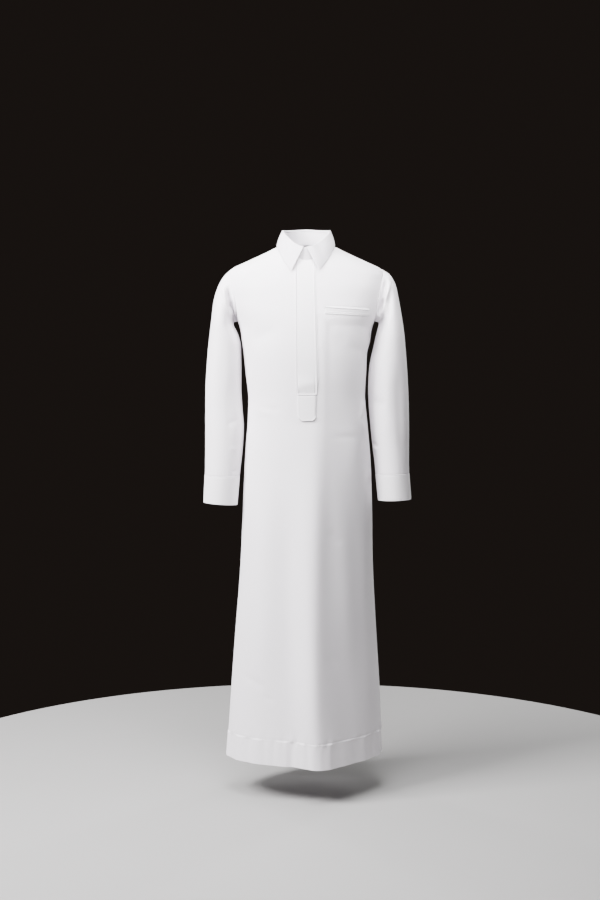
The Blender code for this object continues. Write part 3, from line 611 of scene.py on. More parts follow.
class NodeBoard:
    """A new material's node tree, with short calls that add a node and wire it."""

    def __init__(self, name: str):
        """Make the material."""
        self.material = bpy.data.materials.new(name)
        self.material.use_nodes = True
        self.tree = self.material.node_tree
        self.place = self.add("ShaderNodeTexCoord").outputs["Object"]

    def plug(self, node: bpy.types.Node, inputs: Inputs) -> bpy.types.Node:
        """Set a node's inputs, by name or number, to values or wire them to output sockets."""
        for key, value in inputs.items():
            if isinstance(value, Socket):
                self.tree.links.new(value, node.inputs[key])
            else:
                node.inputs[key].default_value = value
        return node

    def add(self, kind: str, inputs: Inputs = MappingProxyType({}), **settings: object) -> bpy.types.Node:
        """Add a node of Blender's kind with its inputs and its own settings."""
        node = self.tree.nodes.new(kind)
        for key, value in settings.items():
            setattr(node, key, value)
        return self.plug(node, inputs)

    def maths(self, operation: str, *terms: object) -> Socket:
        """A Math node's result."""
        return self.add("ShaderNodeMath", dict(enumerate(terms)), operation=operation).outputs[0]

    def noise(self, place: Socket, scale: float, detail: float, roughness: float = 0.5) -> Socket:
        """Soft noise at a place."""
        inputs = {"Vector": place, "Scale": scale, "Detail": detail, "Roughness": roughness}
        return self.add("ShaderNodeTexNoise", inputs).outputs[0]

    def tone(self, colour: Place, change: float, scale: float, detail: float) -> Socket:
        """The colour, darker by up to a share of it in soft patches."""
        low = tuple(channel * (1 - change) for channel in colour)
        inputs = {0: self.noise(self.place, scale, detail), 6: (*low, 1.0), 7: (*colour, 1.0)}
        return self.add("ShaderNodeMix", inputs, data_type="RGBA").outputs[2]

    def relief(self, height: Socket, distance: float, strength: float, **onto: Socket) -> Socket:
        """The normal of a height, on top of another normal if one is given."""
        inputs = {"Height": height, "Distance": distance, "Strength": strength, **onto}
        return self.add("ShaderNodeBump", inputs).outputs[0]

    def finish(self, inputs: Inputs) -> bpy.types.Material:
        """The material, with its shader's inputs set."""
        self.plug(self.tree.nodes["Principled BSDF"], inputs)
        return self.material


@dataclass(frozen=True)
class ClothFinish:
    """White plain-weave cloth: threads by the cloth's own lengths, slubs and a faint unevenness of tone."""

    name: str
    colour: Place
    roughness: float = 0.74
    slub_height: float = 0.00022
    slub_length: float = 0.012
    thread: float = 0.00042
    weave_height: float = 0.00007
    tone_change: float = 0.022
    sheen: float = 0.18

    def material(self) -> bpy.types.Material:
        """Build the material: weave and slub heights through two bumps, tone from soft noise, and painted
        shade where the weave is low.
        """
        board = NodeBoard(self.name)
        flat = board.add("ShaderNodeUVMap", uv_map="cloth").outputs["UV"]
        weave = self._weave(board, flat)
        stretched = board.add("ShaderNodeMapping", {"Vector": flat, "Scale": (1.0, 0.22, 1.0)}).outputs[0]
        slub = board.noise(stretched, 1 / self.slub_length, 4.0, 0.6)
        slubbed = board.relief(slub, self.slub_height, 0.35)
        tone = board.tone(self.colour, self.tone_change, 9.0, 3.0)
        # Painted shade: the colour darkens by up to a twentieth where the weave is low, between the threads.
        weave_painted_shade = board.maths("MULTIPLY_ADD", weave, 0.05, 0.95)
        shade = board.add("ShaderNodeVectorMath", {0: tone, "Scale": weave_painted_shade}, operation="SCALE").outputs[0]
        return board.finish(
            {
                "Base Color": shade,
                "Roughness": board.maths("MULTIPLY_ADD", slub, 0.10, self.roughness - 0.05),
                "Normal": board.relief(weave, self.weave_height, 0.5, Normal=slubbed),
                "Sheen Weight": self.sheen,
                "Sheen Roughness": 0.45,
                "Specular IOR Level": 0.32,
            }
        )

    def _weave(self, board: NodeBoard, flat: Socket) -> Socket:
        """Plain weave: |sin| ridges of warp and weft, each on top in its own squares of a chequer.

        Args:
            board: The node board.
            flat: Flat place on the cloth, in metres.

        Returns:
            Height from 0 to 1.
        """
        ways = board.add("ShaderNodeSeparateXYZ", {"Vector": flat}).outputs
        turns = (board.maths("MULTIPLY", ways[axis], pi / self.thread) for axis in "XY")
        across, down = (board.maths("SINE", turn) for turn in turns)
        warp, weft = board.maths("ABSOLUTE", across), board.maths("ABSOLUTE", down)
        chequer = board.maths("SIGN", board.maths("MULTIPLY", across, down))
        share = board.maths("MULTIPLY_ADD", chequer, 0.35, 0.5)
        rest = board.maths("SUBTRACT", 1.0, share)
        parts = (board.maths("MULTIPLY", *pair) for pair in ((warp, share), (weft, rest)))
        return board.maths("MAXIMUM", *parts)


@dataclass(frozen=True)
class ThreadFinish:
    """Spun sewing thread, a little smoother and whiter than the cloth."""

    name: str
    colour: Place
    roughness: float = 0.55

    def material(self) -> bpy.types.Material:
        """Build the material, with the twist as a fine wave along the world's height and width."""
        board = NodeBoard(self.name)
        place = {"Vector": board.place, "Scale": 900.0}
        twist = board.add("ShaderNodeTexWave", place, bands_direction="DIAGONAL").outputs["Fac"]
        colour, normal = (*self.colour, 1.0), board.relief(twist, 0.00004, 0.4)
        return board.finish({"Base Color": colour, "Roughness": self.roughness, "Normal": normal})


@dataclass(frozen=True)
class FloorFinish:
    """Plain pale floor with a barely uneven tone."""

    colour: Place = (0.34, 0.335, 0.33)
    roughness: float = 0.8

    def material(self) -> bpy.types.Material:
        """Build the material."""
        board = NodeBoard("floor")
        tone = board.tone(self.colour, 0.03, 3.0, 2.0)
        return board.finish({"Base Color": tone, "Roughness": self.roughness})


@dataclass(frozen=True)
class Wardrobe:
    """All the finishes, made once: one cloth for each slot, and the thread."""

    cloth: dict[Slot, bpy.types.Material]
    thread: bpy.types.Material

    @classmethod
    def make(cls) -> "Wardrobe":
        """Make the materials."""
        cloth = {
            Slot.BODY: ClothFinish("white_cloth", (0.868, 0.834, 0.872)),
            Slot.SEWN: ClothFinish("white_cloth_double", (0.888, 0.862, 0.892), 0.72),
            # The collar's white is darker than the body's by about a sixth: painted shade for the turned
            # collar.
            Slot.COLLAR: ClothFinish("white_cloth_fused", (0.735, 0.708, 0.745), 0.68, 0.00012),
        }
        thread = ThreadFinish("white_thread", (0.890, 0.868, 0.894))
        return cls({slot: finish.material() for slot, finish in cloth.items()}, thread.material())


# ============================================================================ meshes
@dataclass
class Edges:
    """Distances of a grid's points from its four edges, along the cloth, in metres."""

    left: Array
    right: Array
    top: Array
    bottom: Array

    @classmethod
    def of(cls, grid: Array) -> "Edges":
        """Running distances along rows and columns."""
        left, top = reach(grid, 1), reach(grid)
        return cls(left, left[:, -1:] - left, top, top[-1:] - top)


def seam_trough(distance: Array) -> Array:
    """Height of the cloth beside a seam: it dives into the seam, and swells a little just before it."""
    dive = bump(distance, -CLOTH.seam_depth, 0.0, CLOTH.seam_width)
    return dive + bump(distance, 0.35 * CLOTH.seam_depth, 0.0048, 0.0022)


def round_edge(distance: Array, radius: float) -> Array:
    """Share of full thickness at a distance from a folded edge: a quarter circle of the given radius."""
    t = np.clip(distance / radius, 0, 1)
    return np.sqrt(np.clip(1 - (1 - t) ** 2, 0.0, 1.0))


def mesh_object(name: str, points: Array, faces: Array, uvs: Array | None = None) -> bpy.types.Object:
    """Make a smooth object of quads from arrays.

    Args:
        name: The object's name.
        points: Vertices (n, 3).
        faces: Quads (m, 4) of vertex numbers.
        uvs: Flat place of each face corner (m, 4, 2).

    Returns:
        The object, linked at the origin.
    """
    mesh = bpy.data.meshes.new(name)
    mesh.vertices.add(len(points))
    mesh.vertices.foreach_set("co", np.ascontiguousarray(points, dtype=np.float32).ravel())
    mesh.loops.add(faces.size)
    mesh.loops.foreach_set("vertex_index", np.ascontiguousarray(faces, dtype=np.int32).ravel())
    mesh.polygons.add(len(faces))
    mesh.polygons.foreach_set("loop_start", np.arange(0, faces.size, 4, dtype=np.int32))
    if uvs is not None:
        layer = mesh.uv_layers.new(name="cloth")
        layer.data.foreach_set("uv", np.ascontiguousarray(uvs, dtype=np.float32).ravel())
    mesh.update(calc_edges=True)
    mesh.validate()
    mesh.shade_smooth()
    piece = bpy.data.objects.new(name, mesh)
    bpy.context.scene.collection.objects.link(piece)
    return piece


def dressed(piece: bpy.types.Object, material: bpy.types.Material, slot: Slot) -> bpy.types.Object:
    """Give a piece its finish, let it ride on the root body and report it."""
    piece.data.materials.append(material)
    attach(piece, "root")
    log.info("%s: %d faces", piece.name, len(piece.data.polygons))
    return piece


@dataclass
class Shell:
    """A piece of cloth as one closed shell between an outer and an inner grid (rows, columns, 3).

    The grid of outward directions settles which way the faces turn. A closed shell's last column joins its
    first.
    """

    name: str
    outer: Array
    inner: Array
    outward: Array
    closed: bool = False

    def build(self, finishes: Wardrobe, slot: Slot, node: str | None = None) -> bpy.types.Object:
        """Make the object: quads on both sides and round the rim, with the cloth's own lengths as its UVs.

        Args:
            finishes: The garment's finishes.
            slot: The record's slot that the piece takes its finish from.
            node: The frame's node that the piece replaces, if it replaces one.

        Returns:
            The new object, riding on the root body.
        """
        count = self.outer[..., 0].size
        index, chart = np.arange(count).reshape(self.outer.shape[:2]), self._chart()
        if self.closed:
            index = np.concatenate([index, index[:, :1]], axis=1)
        skin, skin_uv = cells(index), cells(chart)
        faces, uvs = [skin, skin[:, ::-1] + count], [skin_uv, skin_uv[:, ::-1]]
        rims = [(index[0], chart[0]), (index[-1][::-1], chart[-1][::-1])]
        if not self.closed:
            rims += [(index[::-1, 0], chart[::-1, 0]), (index[:, -1], chart[:, -1])]
        for line, place in rims:
            faces.append(cells(np.stack([line, line + count]))[:, [1, 0, 3, 2]])
            uvs.append(cells(np.stack([place, place]))[:, [1, 0, 3, 2]])
        a, b, c, d = self.outer.reshape(-1, 3)[skin.T]
        facing = np.cross(c - a, d - b) * self.outward.reshape(-1, 3)[skin[:, 0]]
        turn = -1 if facing.sum() < 0 else 1
        points = np.concatenate([self.outer.reshape(-1, 3), self.inner.reshape(-1, 3)])
        faces, uvs = (np.concatenate(parts)[:, ::turn] for parts in (faces, uvs))
        piece = dressed(mesh_object(self.name, points, faces, uvs), finishes.cloth[slot], slot)
        if node:
            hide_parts(node)
        return piece

    def level_line(self, level: float) -> Pair:
        """The outer side's line at a height: each column's two points round it, mixed by their heights.

        Args:
            level: The height in metres.

        Returns:
            Points (columns, 3) and outward normals (columns, 3).
        """
        low = np.argmax(self.outer[..., 2] < level, axis=0)
        column = np.arange(self.outer.shape[1])
        above, below = self.outer[low - 1, column], self.outer[low, column]
        share = (above[:, 2] - level) / (above[:, 2] - below[:, 2])
        points = above + (below - above) * share[:, None]
        normals = unit(np.cross(np.gradient(points, axis=0), above - below))
        return points, normals * np.sign((normals * self.outward[low, column]).sum(axis=1, keepdims=True))

    def _chart(self) -> Array:
        """Flat place of each grid point: mean lengths across and down."""
        grid = np.concatenate([self.outer, self.outer[:, :1]], axis=1) if self.closed else self.outer
        u, v = reach(grid, 1).mean(axis=0), reach(grid).mean(axis=1)
        return np.stack(np.broadcast_arrays(u[None, :], -v[:, None]), axis=-1)


@dataclass(frozen=True)
class Cut:
    """A piece's flat cut: width and length of its rectangle, its own area, and how it is held."""

    width: float
    length: float
    area: float
    held: Held
    rests_on: tuple[str, ...]

    def declare(self, piece: bpy.types.Object, *thread: bpy.types.Object) -> None:
        list(self.rests_on)


# ============================================================================ thread
@dataclass(frozen=True)
class Thread:
    """Lockstitches along lines; the profile's rows are a share of a stitch, and its width and rise there."""

    stitch: float = 0.0027
    pitch: float = 0.0033
    radius: float = 0.00026
    sides: int = 5
    profile: str = """
        0    0.25 -0.9
        0.18 0.85  0.15
        0.5  1     0.55
        0.82 0.85  0.15
        1    0.25 -0.9
    """

    def along(self, points: Array, normals: Array) -> Pair:
        """Stitches one after another along a line: each is a small spindle that arches over the cloth.

        Args:
            points: The line's points (n, 3), on the cloth's surface.
            normals: The cloth's normals there.

        Returns:
            Vertices (m, 3) and quads (k, 4).
        """
        run = reach(points)
        count = max(1, int(run[-1] / self.pitch))
        starts = (np.arange(count) + 0.5) * run[-1] / count - self.stitch / 2
        shares, swell, rise = np.array(numbers(self.profile)).T
        where = starts[:, None] + shares * self.stitch
        middle, up = (
            np.stack([np.interp(where, run, way) for way in line.T], axis=-1) for line in (points, normals)
        )
        up = unit(up)
        aside = unit(np.cross(up, unit(middle[:, -1:] - middle[:, :1]) + 0 * up))
        turn = np.arange(self.sides)[:, None] * 2 * pi / self.sides
        ring = aside[:, :, None] * np.cos(turn) + up[:, :, None] * np.sin(turn)
        middle = middle + up * (self.radius * rise)[:, None]
        vertices = (middle[:, :, None] + ring * (self.radius * swell)[:, None, None]).reshape(-1, 3)
        number = np.arange(len(vertices)).reshape(count, len(shares), self.sides)
        following = np.roll(number, -1, axis=2)
        quads = np.stack([number[:, :-1], following[:, :-1], following[:, 1:], number[:, 1:]], axis=-1)
        return vertices, quads.reshape(-1, 4)[:, ::-1]


LOCKSTITCH = Thread()


@dataclass
class Part:
    """What each sub-assembly is built from: the body's form, its seams and the finishes."""

    form: BodyForm
    seams: SeamLines
    finishes: Wardrobe

    def sewn(self, name: str, slot: Slot, parts: list[Pair]) -> bpy.types.Object:
        """One object of thread from several lines of stitches."""
        starts = np.cumsum([0] + [len(points) for points, _ in parts])
        points = np.concatenate([points for points, _ in parts])
        faces = np.concatenate([faces + start for (_, faces), start in zip(parts, starts)])
        piece = mesh_object(name, points, faces, np.zeros((len(faces), 4, 2)))
        return dressed(piece, self.finishes.thread, slot)


# ============================================================================ body panels
def parted(grid: Array, amount: float, below: bool = False) -> Array:
    """The grid with its side and top edges, and the lower one if asked, moved in to clear a seam."""
    moved = grid.copy()
    moved[:, 0] += unit(grid[:, 1] - grid[:, 0]) * amount
    moved[:, -1] += unit(grid[:, -2] - grid[:, -1]) * amount
    moved[0] += unit(grid[1] - grid[0]) * amount
    if below:
        moved[-1] += unit(moved[-2] - moved[-1]) * amount
    return moved


@dataclass
class BodyPanel(Part):
    """What the front, back and yoke have in common: a grid of (angle, z) on the form."""

    name: ClassVar[str]
    node: ClassVar[str]
    cut: ClassVar[Cut]
    sewn_below: ClassVar[bool] = False
    hem_radius: ClassVar[float] = 0.0012
    hem_roll: ClassVar[float] = 0.0005

    def parameters(self) -> Array:
        """Grid (rows, columns, 2) of angle and z."""
        raise NotImplementedError

    def relief(self, points: Array, z: Array, edges: Edges) -> Array:
        """Height over the form from the grid's points, their z and their edge distances."""
        raise NotImplementedError

    def level_rows(self) -> Array:
        """Heights below the chest: even, and closer at the hem's stitching and at its fold."""
        above, under = LEVELS.stitched + 0.011, LEVELS.stitched - 0.009
        over_fold, fold = LEVELS.hem + 0.008, LEVELS.hem + 0.002
        runs = (LEVELS.chest, above, 166), (above, under, 15), (under, over_fold, 9), (over_fold, fold, 4)
        return stepped(*runs, (fold, LEVELS.hem, 4))[1:]

    def side_rows(self, steps: int, angle: float) -> Array:
        """The side edge's (angle, z) from the underarm to the chest."""
        z = LEVELS.underarm + (LEVELS.chest - LEVELS.underarm) * np.linspace(0, 1, steps + 1)[1:]
        return np.stack([np.full(steps, angle), z], axis=1)

    def hem_relief(self, grid: Array, z: Array) -> Array:
        """The hem's surface: a stitched trough with small puckers and fuller cloth below it."""
        run = reach(grid[-1])[None, :]
        off = z - LEVELS.stitched
        below = ramp((0.002 - off) / 0.006)
        drawn = 0.30 + 0.70 * ramp((grid[..., 0] - 0.01) / 0.05) * ramp((0.20 - grid[..., 0]) / 0.03)
        held = 0.72 + 0.28 * wave(14, run, 0.017, 1)
        trough = bump(off, -0.0007 * (0.4 + 0.6 * drawn) * held, 0.0014, 0.0024)
        ridge = bump(off, 0.0007 * held * (0.20 + 0.80 * drawn), -0.0022, 0.0020)
        pucker = bump(off, 0.0012 * wave(11, run, 0.040, 2), 0.0, 0.015)
        gather = bump(off, 0.0019 * drawn * wave(13, run, 0.015, 1), 0.0, 0.0060)
        ripple = 0.0024 * wave(12, run, 0.075, 2) * below
        return trough + ridge + pucker + gather + ripple + 0.0003 * below

    def side_seam(self, distance: Array, z: Array) -> Array:
        """Edge stitching beside the side seams: a narrow ridge at the seam, then a fine trough."""
        below = ramp((LEVELS.chest + 0.02 - z) / 0.05)
        return below * (bump(distance, 0.0009, 0.0022, 0.0015) + bump(distance, -0.0006, 0.0060, 0.0014))

    def thickness(self, z: Array) -> Array:
        """One ply, and the turn-up's two more below the hem's stitching, rounded at the fold."""
        thick = CLOTH.ply + (CLOTH.hem - CLOTH.ply) * ramp((LEVELS.stitched + 0.0005 - z) / 0.0015)
        return thick * (0.25 + 0.75 * round_edge(z - LEVELS.hem, self.hem_radius))

    def cloth(self) -> Shell:
        """Both sides of the panel."""
        angle, z = np.moveaxis(self.parameters(), -1, 0)
        points, normals = self.form.raised(angle, z)
        rolled = (1 - round_edge(z - LEVELS.hem, self.hem_radius)) * self.hem_roll
        height = self.relief(points, z, Edges.of(points)) - rolled
        outer = parted(points + normals * height[..., None], CLOTH.seam_gap / 2, self.sewn_below)
        return Shell(self.name, outer, outer - normals * self.thickness(z)[..., None], normals)

    def build(self, cloth: Shell, *thread: bpy.types.Object) -> None:
        self.cut.declare(cloth.build(self.finishes, Slot.BODY, self.node), *thread)


@dataclass
class FrontPanel(BodyPanel):
    """The front, from the shoulder seams and the neckline to the hem."""

    name = "front_cloth"
    node = "front_panel"
    cut = Cut(0.60, 1.45, 0.71, Held.HUNG, ("yoke_cloth",))
    columns: tuple[int, int] = (66, 82)
    gather: float = 0.86
    beside_placket: float = 0.0006
    rows: tuple[int, int, int] = (28, 48, 10)
    shares: tuple[float, ...] = (0.0, 0.36, 0.93, 1.0)

    def parameters(self) -> Array:
        """Above the chest the grid is spanned between its edges, and below it the rows are level."""
        shoulder, armhole, side = self.rows
        edge = np.concatenate(
            [
                self.seams.shoulder(np.linspace(0, 1, shoulder + 1)),
                self.seams.armhole_front(np.linspace(0, 1, armhole + 1)[1:]),
                self.side_rows(side, 0.0),
            ]
        )
        share, z = stepped(*zip(self.shares, self.shares[1:], self.rows)), self.level_rows()
        parts = (partial(self._upper, edge, share), len(share)), (partial(self._lower, z), len(z))
        return np.concatenate([grid(self._shared_out(grid, rows)) for grid, rows in parts])

    def _upper(self, edge: Array, share: Array, across: Array) -> Array:
        """Angle and z between the neckline, the side edges and the level of the chest."""
        angle, z = self.form.on_shoulders(*LEVELS.neck_plan(LEVELS.neck_side * (2 * across - 1)))
        bottom = np.stack([pi * across, np.full(across.shape, LEVELS.chest)], axis=-1)
        return spanned(np.stack([angle, z], axis=-1), bottom, edge, mirrored(edge), share, across)

    def _lower(self, z: Array, across: Array) -> Array:
        """Angle and z at the level rows."""
        side = self.seams.side_front(z)[:, None]
        return np.stack(np.broadcast_arrays(side + (pi - 2 * side) * across, z[:, None]), axis=-1)

    def _shared_out(self, grid: Callable[[Array], Array], rows: int) -> Array:
        """Shares across each row that gather at the sides and at the placket's free edge.

        Args:
            grid: Gives angle and z of the shares across each row.
            rows: Number of rows.

        Returns:
            Shares (rows, columns).
        """

        def beside(across: Array) -> Array:
            """Whether the places lie on the right of the placket's free edge."""
            x, _, z = np.moveaxis(self.form.plain(*np.moveaxis(grid(across), -1, 0)), -1, 0)
            return x < GUIDES.at("placket_right", z) - self.beside_placket

        edge = halved((0.2, 0.8), (rows, 1), beside, 24)
        right, left = (eased(count, self.gather) for count in self.columns)
        return np.concatenate([edge * right, edge + (1 - edge) * left[1:]], axis=1)

    def relief(self, points: Array, z: Array, edges: Edges) -> Array:
        """Seam troughs at the sides, shoulders and armholes, the pockets' hollows and the hem's surface."""
        sides = nearest(edges.left, edges.right)
        height = seam_trough(sides) + self.hem_relief(points, z) + pocket_relief(points)
        return height + bump(edges.top, -0.0010, 0.0, 0.004) + self.side_seam(sides, z)


@dataclass
class BackPanel(BodyPanel):
    """The back, from the yoke seam to the hem."""

    name = "back_cloth"
    node = "back_panel"
    cut = Cut(0.58, 1.35, 0.66, Held.HUNG, ("yoke_cloth",))
    columns: int = 120
    gather: float = 0.6
    rows: tuple[int, int] = (40, 9)
    shares: tuple[float, ...] = (0.0, 0.86, 1.0)

    def parameters(self) -> Array:
        """As the front's, under the yoke seam; its angles stay under 0, as the front begins at 0."""
        least = 1e-9
        across, (armhole, side) = eased(self.columns, self.gather), self.rows
        edge = self.seams.armhole_back(np.linspace(0, 1, armhole + 1))
        edge = np.concatenate([edge, self.side_rows(side, -least)])
        edge[:, 0] = np.minimum(edge[:, 0], -least)
        angle = np.clip(-pi * across, least - pi, -least)
        bottom = np.stack([angle, np.full(len(across), LEVELS.chest)], axis=1)
        share, z = stepped(*zip(self.shares, self.shares[1:], self.rows)), self.level_rows()
        upper = spanned(self.seams.yoke_seam(across), bottom, edge, mirrored(edge), share, across)
        lower = np.stack(np.broadcast_arrays(angle, z[:, None]), axis=-1)
        return np.concatenate([upper, lower])

    def relief(self, points: Array, z: Array, edges: Edges) -> Array:
        """Seam troughs at the sides and the yoke, and the hem's own surface."""
        sides = nearest(edges.left, edges.right)
        return seam_trough(nearest(sides, edges.top)) + self.hem_relief(points, z) + self.side_seam(sides, z)


@dataclass
class Yoke(BodyPanel):
    """The yoke over the shoulders, two plies, from the forward shoulder seams to the back's seam."""

    name = "yoke_cloth"
    node = "yoke"
    cut = Cut(0.44, 0.17, 0.062, Held.LAID, ("back_cloth",))
    sewn_below = True
    shoulder_steps: int = 26
    neck_steps: int = 64
    rows: int = 34

    def parameters(self) -> Array:
        """Spanned in plan and laid on the form, where the shoulders are nearly level."""
        start, end = LEVELS.neck_side, 2 * pi - LEVELS.neck_side
        seam = self.form.plain(*self.seams.shoulder(1 - np.linspace(0, 1, self.shoulder_steps + 1)).T)[:, :2]
        neck = np.stack(LEVELS.neck_plan(-np.linspace(start, end, self.neck_steps + 1)), axis=1)
        top = np.concatenate([seam[:-1], neck, (seam[::-1] * (-1, 1))[1:]])
        across, down = np.linspace(0, 1, len(top)), eased(self.rows, 0.5)
        below = self.seams.yoke_seam(across)
        bottom = self.form.plain(*below.T)[:, :2]
        left = self.seams.armhole_top(down)
        left[-1] = bottom[0]
        plan = spanned(top, bottom, left, left * (-1, 1), down, across)
        angle, z = self.form.on_shoulders(plan[..., 0], plan[..., 1])
        angle[-1], z[-1] = below.T
        return np.stack([angle, z], axis=-1)

    def thickness(self, z: Array) -> Array:
        """Two plies."""
        return np.full(z.shape, CLOTH.double)

    def relief(self, points: Array, z: Array, edges: Edges) -> Array:
        """Seam troughs all round."""
        return seam_trough(nearest(edges.left, edges.right, edges.top, edges.bottom))


# ============================================================================ placket and pockets
GUIDES = Table("z placket_right placket_left", """
     -0.02  -0.026 0.0205
    -0.092  -0.026 0.0208
    -0.165 -0.0256 0.0224
    -0.235 -0.0252 0.0242
    -0.402 -0.0235 0.0285
    -0.476 -0.0224 0.0265
      -0.7  -0.023 0.0275
    -1.427  -0.026  0.048
""")


@dataclass
class Overlay(Part):
    """A piece laid on the body: a patch of the form, lifted, with rounded edges of its own."""

    def laid(
        self,
        name: str,
        place: Pair,
        height: Callable[[Edges], Array],
        node: str | None = None,
        foot: float = CLOTH.lift,
    ) -> bpy.types.Object:
        """Build a patch.

        Args:
            name: The piece's name.
            place: Grids (rows, columns) of x and z.
            height: Height of the outer side over the form, from the edge distances.
            node: The frame's node that it replaces, if any.
            foot: Height of the inner side over the form.

        Returns:
            The object.
        """
        x, z = place
        points, normals = self.form.raised(self.form.angle_at_x(x, z), z)
        top = np.maximum(height(Edges.of(points)), foot + 0.0002)
        shell = Shell(name, points + normals * top[..., None], points + normals * foot, normals)
        return shell.build(self.finishes, Slot.SEWN, node)

    def along(self, x: Array, z: Array, height: float) -> Pair:
        """Stitches along a line of x and z, at a height over the form."""
        return LOCKSTITCH.along(*self.form.raised(self.form.angle_at_x(x, z), z, height))


@dataclass
class Placket(Overlay):
    """The concealed placket and, below its cross seam, the stitched stay."""

    columns: int = 46
    strip_rows: int = 170
    stay_rows: int = 44
    free_edge: float = 0.0021
    sewn_edge: float = 0.0013
    strip_inset: float = 0.0034
    stay_inset: float = 0.0032
    cross_inset: float = 0.0042
    chamfer: float = 0.010
    below_neck: float = 0.0012
    flange: float = 0.0058
    flange_end: float = 0.040

    @staticmethod
    def _edges(z: Array, inset: Array | float = 0.0) -> Pair:
        """The right and left edge at a height, moved in by an inset."""
        return GUIDES.at("placket_right", z) + inset, GUIDES.at("placket_left", z) - inset

    def strip(self, rows: Array, across: Array) -> Pair:
        """The placket's (x, z) grid, from just under the neckline to the cross seam."""
        right, left = self._edges(-0.04)
        x_top = right * (1 - across) + left * across + self.flange * across
        plan = LEVELS.neck_plan(np.arcsin(x_top / LEVELS.neck_half_width))
        z_top = self.form.on_shoulders(*plan)[1] - self.below_neck
        z = z_top + (LEVELS.cross_seam - z_top) * rows[:, None]
        right, left = self._edges(z)
        left = left + self.flange * ramp((z - LEVELS.cross_seam) / self.flange_end)
        return right * (1 - across) + left * across, z

    def strip_height(self, edges: Edges) -> Array:
        """Rounded at the free edge; at the sewn edge a groove, a low ridge and a slope down to the front."""
        share = edges.left / (edges.left + edges.right)
        slope = self.flange * ramp(edges.bottom / self.flange_end)
        height = self.free_edge + (self.sewn_edge - self.free_edge) * ramp(share * 1.1)
        height = height * round_edge(edges.left, 0.0012)
        height = height * (0.15 + 0.85 * ramp(edges.right / (slope + 0.0012)))
        sewn, near_end = edges.right - slope, bump(edges.bottom, 1.0, 0.0, 0.024)
        ridge = bump(sewn, 0.0005 + 0.0007 * near_end, 0.0006, 0.0016)
        trough = bump(sewn, -(0.0003 + 0.0010 * near_end), 0.0042, 0.0018)
        rim = bump(edges.left, 0.0011 * near_end, 0.0012, 0.0014)
        full = bump(edges.bottom, 0.0034, 0.027, 0.015) * (1 - 0.6 * share) * np.sin(pi * share) ** 0.5
        dip = bump(edges.bottom, bump(edges.left, -0.0012, 0.0070, 0.0080), 0.0, 0.012)
        ends = bump(edges.bottom, -0.0010, 0.0, 0.0060)
        slack = 0.0004 * wave(21, edges.top, 0.09, 2) * ramp(1 - share * 1.4)
        return CLOTH.lift + height + ridge + trough + rim + full + dip + ends + slack

    def stay(self, rows: Array, across: Array) -> Pair:
        """The stay's (x, z) grid: as wide as the placket, its lower corners cut off at 45 degrees."""
        z = (LEVELS.cross_seam + (LEVELS.stay_end - LEVELS.cross_seam) * rows)[:, None]
        right, left = self._edges(z, np.clip(LEVELS.stay_end + self.chamfer - z, 0, self.chamfer))
        return right * (1 - across) + left * across, z + 0 * across

    def stay_height(self, edges: Edges) -> Array:
        """Flat, pressed down at its stitched edges and at the cross seam."""
        side = nearest(edges.left, edges.right, edges.bottom)
        low = ramp(1 - (edges.bottom - self.chamfer) / 0.012)
        height = 0.0024 * (low + (1 - low) * (0.25 + 0.75 * ramp(edges.right / 0.006)))
        height = height * round_edge(side, 0.0007 + 0.0012 * low) + bump(side, 0.0009 * low, 0.0024, 0.0012)
        trough = bump(side, -0.0003 * (0.3 + 0.7 * low), 0.0040, 0.0011)
        cross = bump(edges.top, 0.0010, 0.0012, 0.0011) + bump(edges.top, -0.0008, 0.0042, 0.0013)
        return CLOTH.lift + height + trough + cross

    def build(self) -> None:
        """Build the placket, the stay and their stitching."""
        across = eased(self.columns, 0.72)
        strip = self.strip(eased(self.strip_rows, 0.3), across)
        stay = self.stay(eased(self.stay_rows, 0.5), across)
        strip = self.laid("placket_cloth", strip, self.strip_height, "placket")
        stay = self.laid("placket_stay_cloth", stay, self.stay_height, "placket_stay")
        Cut(0.055, 0.375, 0.0195, Held.LAID, ("front_cloth",)).declare(strip, self._stitching())
        Cut(0.052, 0.075, 0.0037, Held.LAID, ("front_cloth",)).declare(stay)

    def _stitching(self) -> bpy.types.Object:
        """Lines down the sewn edge, round the stay and beside the cross seam."""
        high, low, inset = CLOTH.lift + self.sewn_edge - 0.0001, CLOTH.lift + 0.0016, self.stay_inset
        top, corner = LEVELS.cross_seam - self.cross_inset, LEVELS.stay_end + self.chamfer
        strip, side = np.linspace(-0.046, LEVELS.cross_seam + 0.003, 200), np.linspace(top, corner, 60)
        right, left = self._edges(side, inset)
        share, cut = np.linspace(0, 1, 20), self.chamfer - inset * 0.4
        slant = corner + (inset - self.chamfer) * share
        inner, outer = right[-1] + cut * share, left[-1] - cut * share
        lines = [
            (GUIDES.at("placket_left", strip) - self.strip_inset, strip, high),
            (right, side, low),
            (left, side, low),
            (inner, slant, low),
            (outer, slant, low),
            (np.linspace(inner[-1], outer[-1], 40), np.full(40, LEVELS.stay_end + inset), low),
            (np.linspace(right[0], left[0], 60), np.full(60, top), low),
        ]
        return self.sewn("placket_stitching", Slot.SEWN, [self.along(*line) for line in lines])


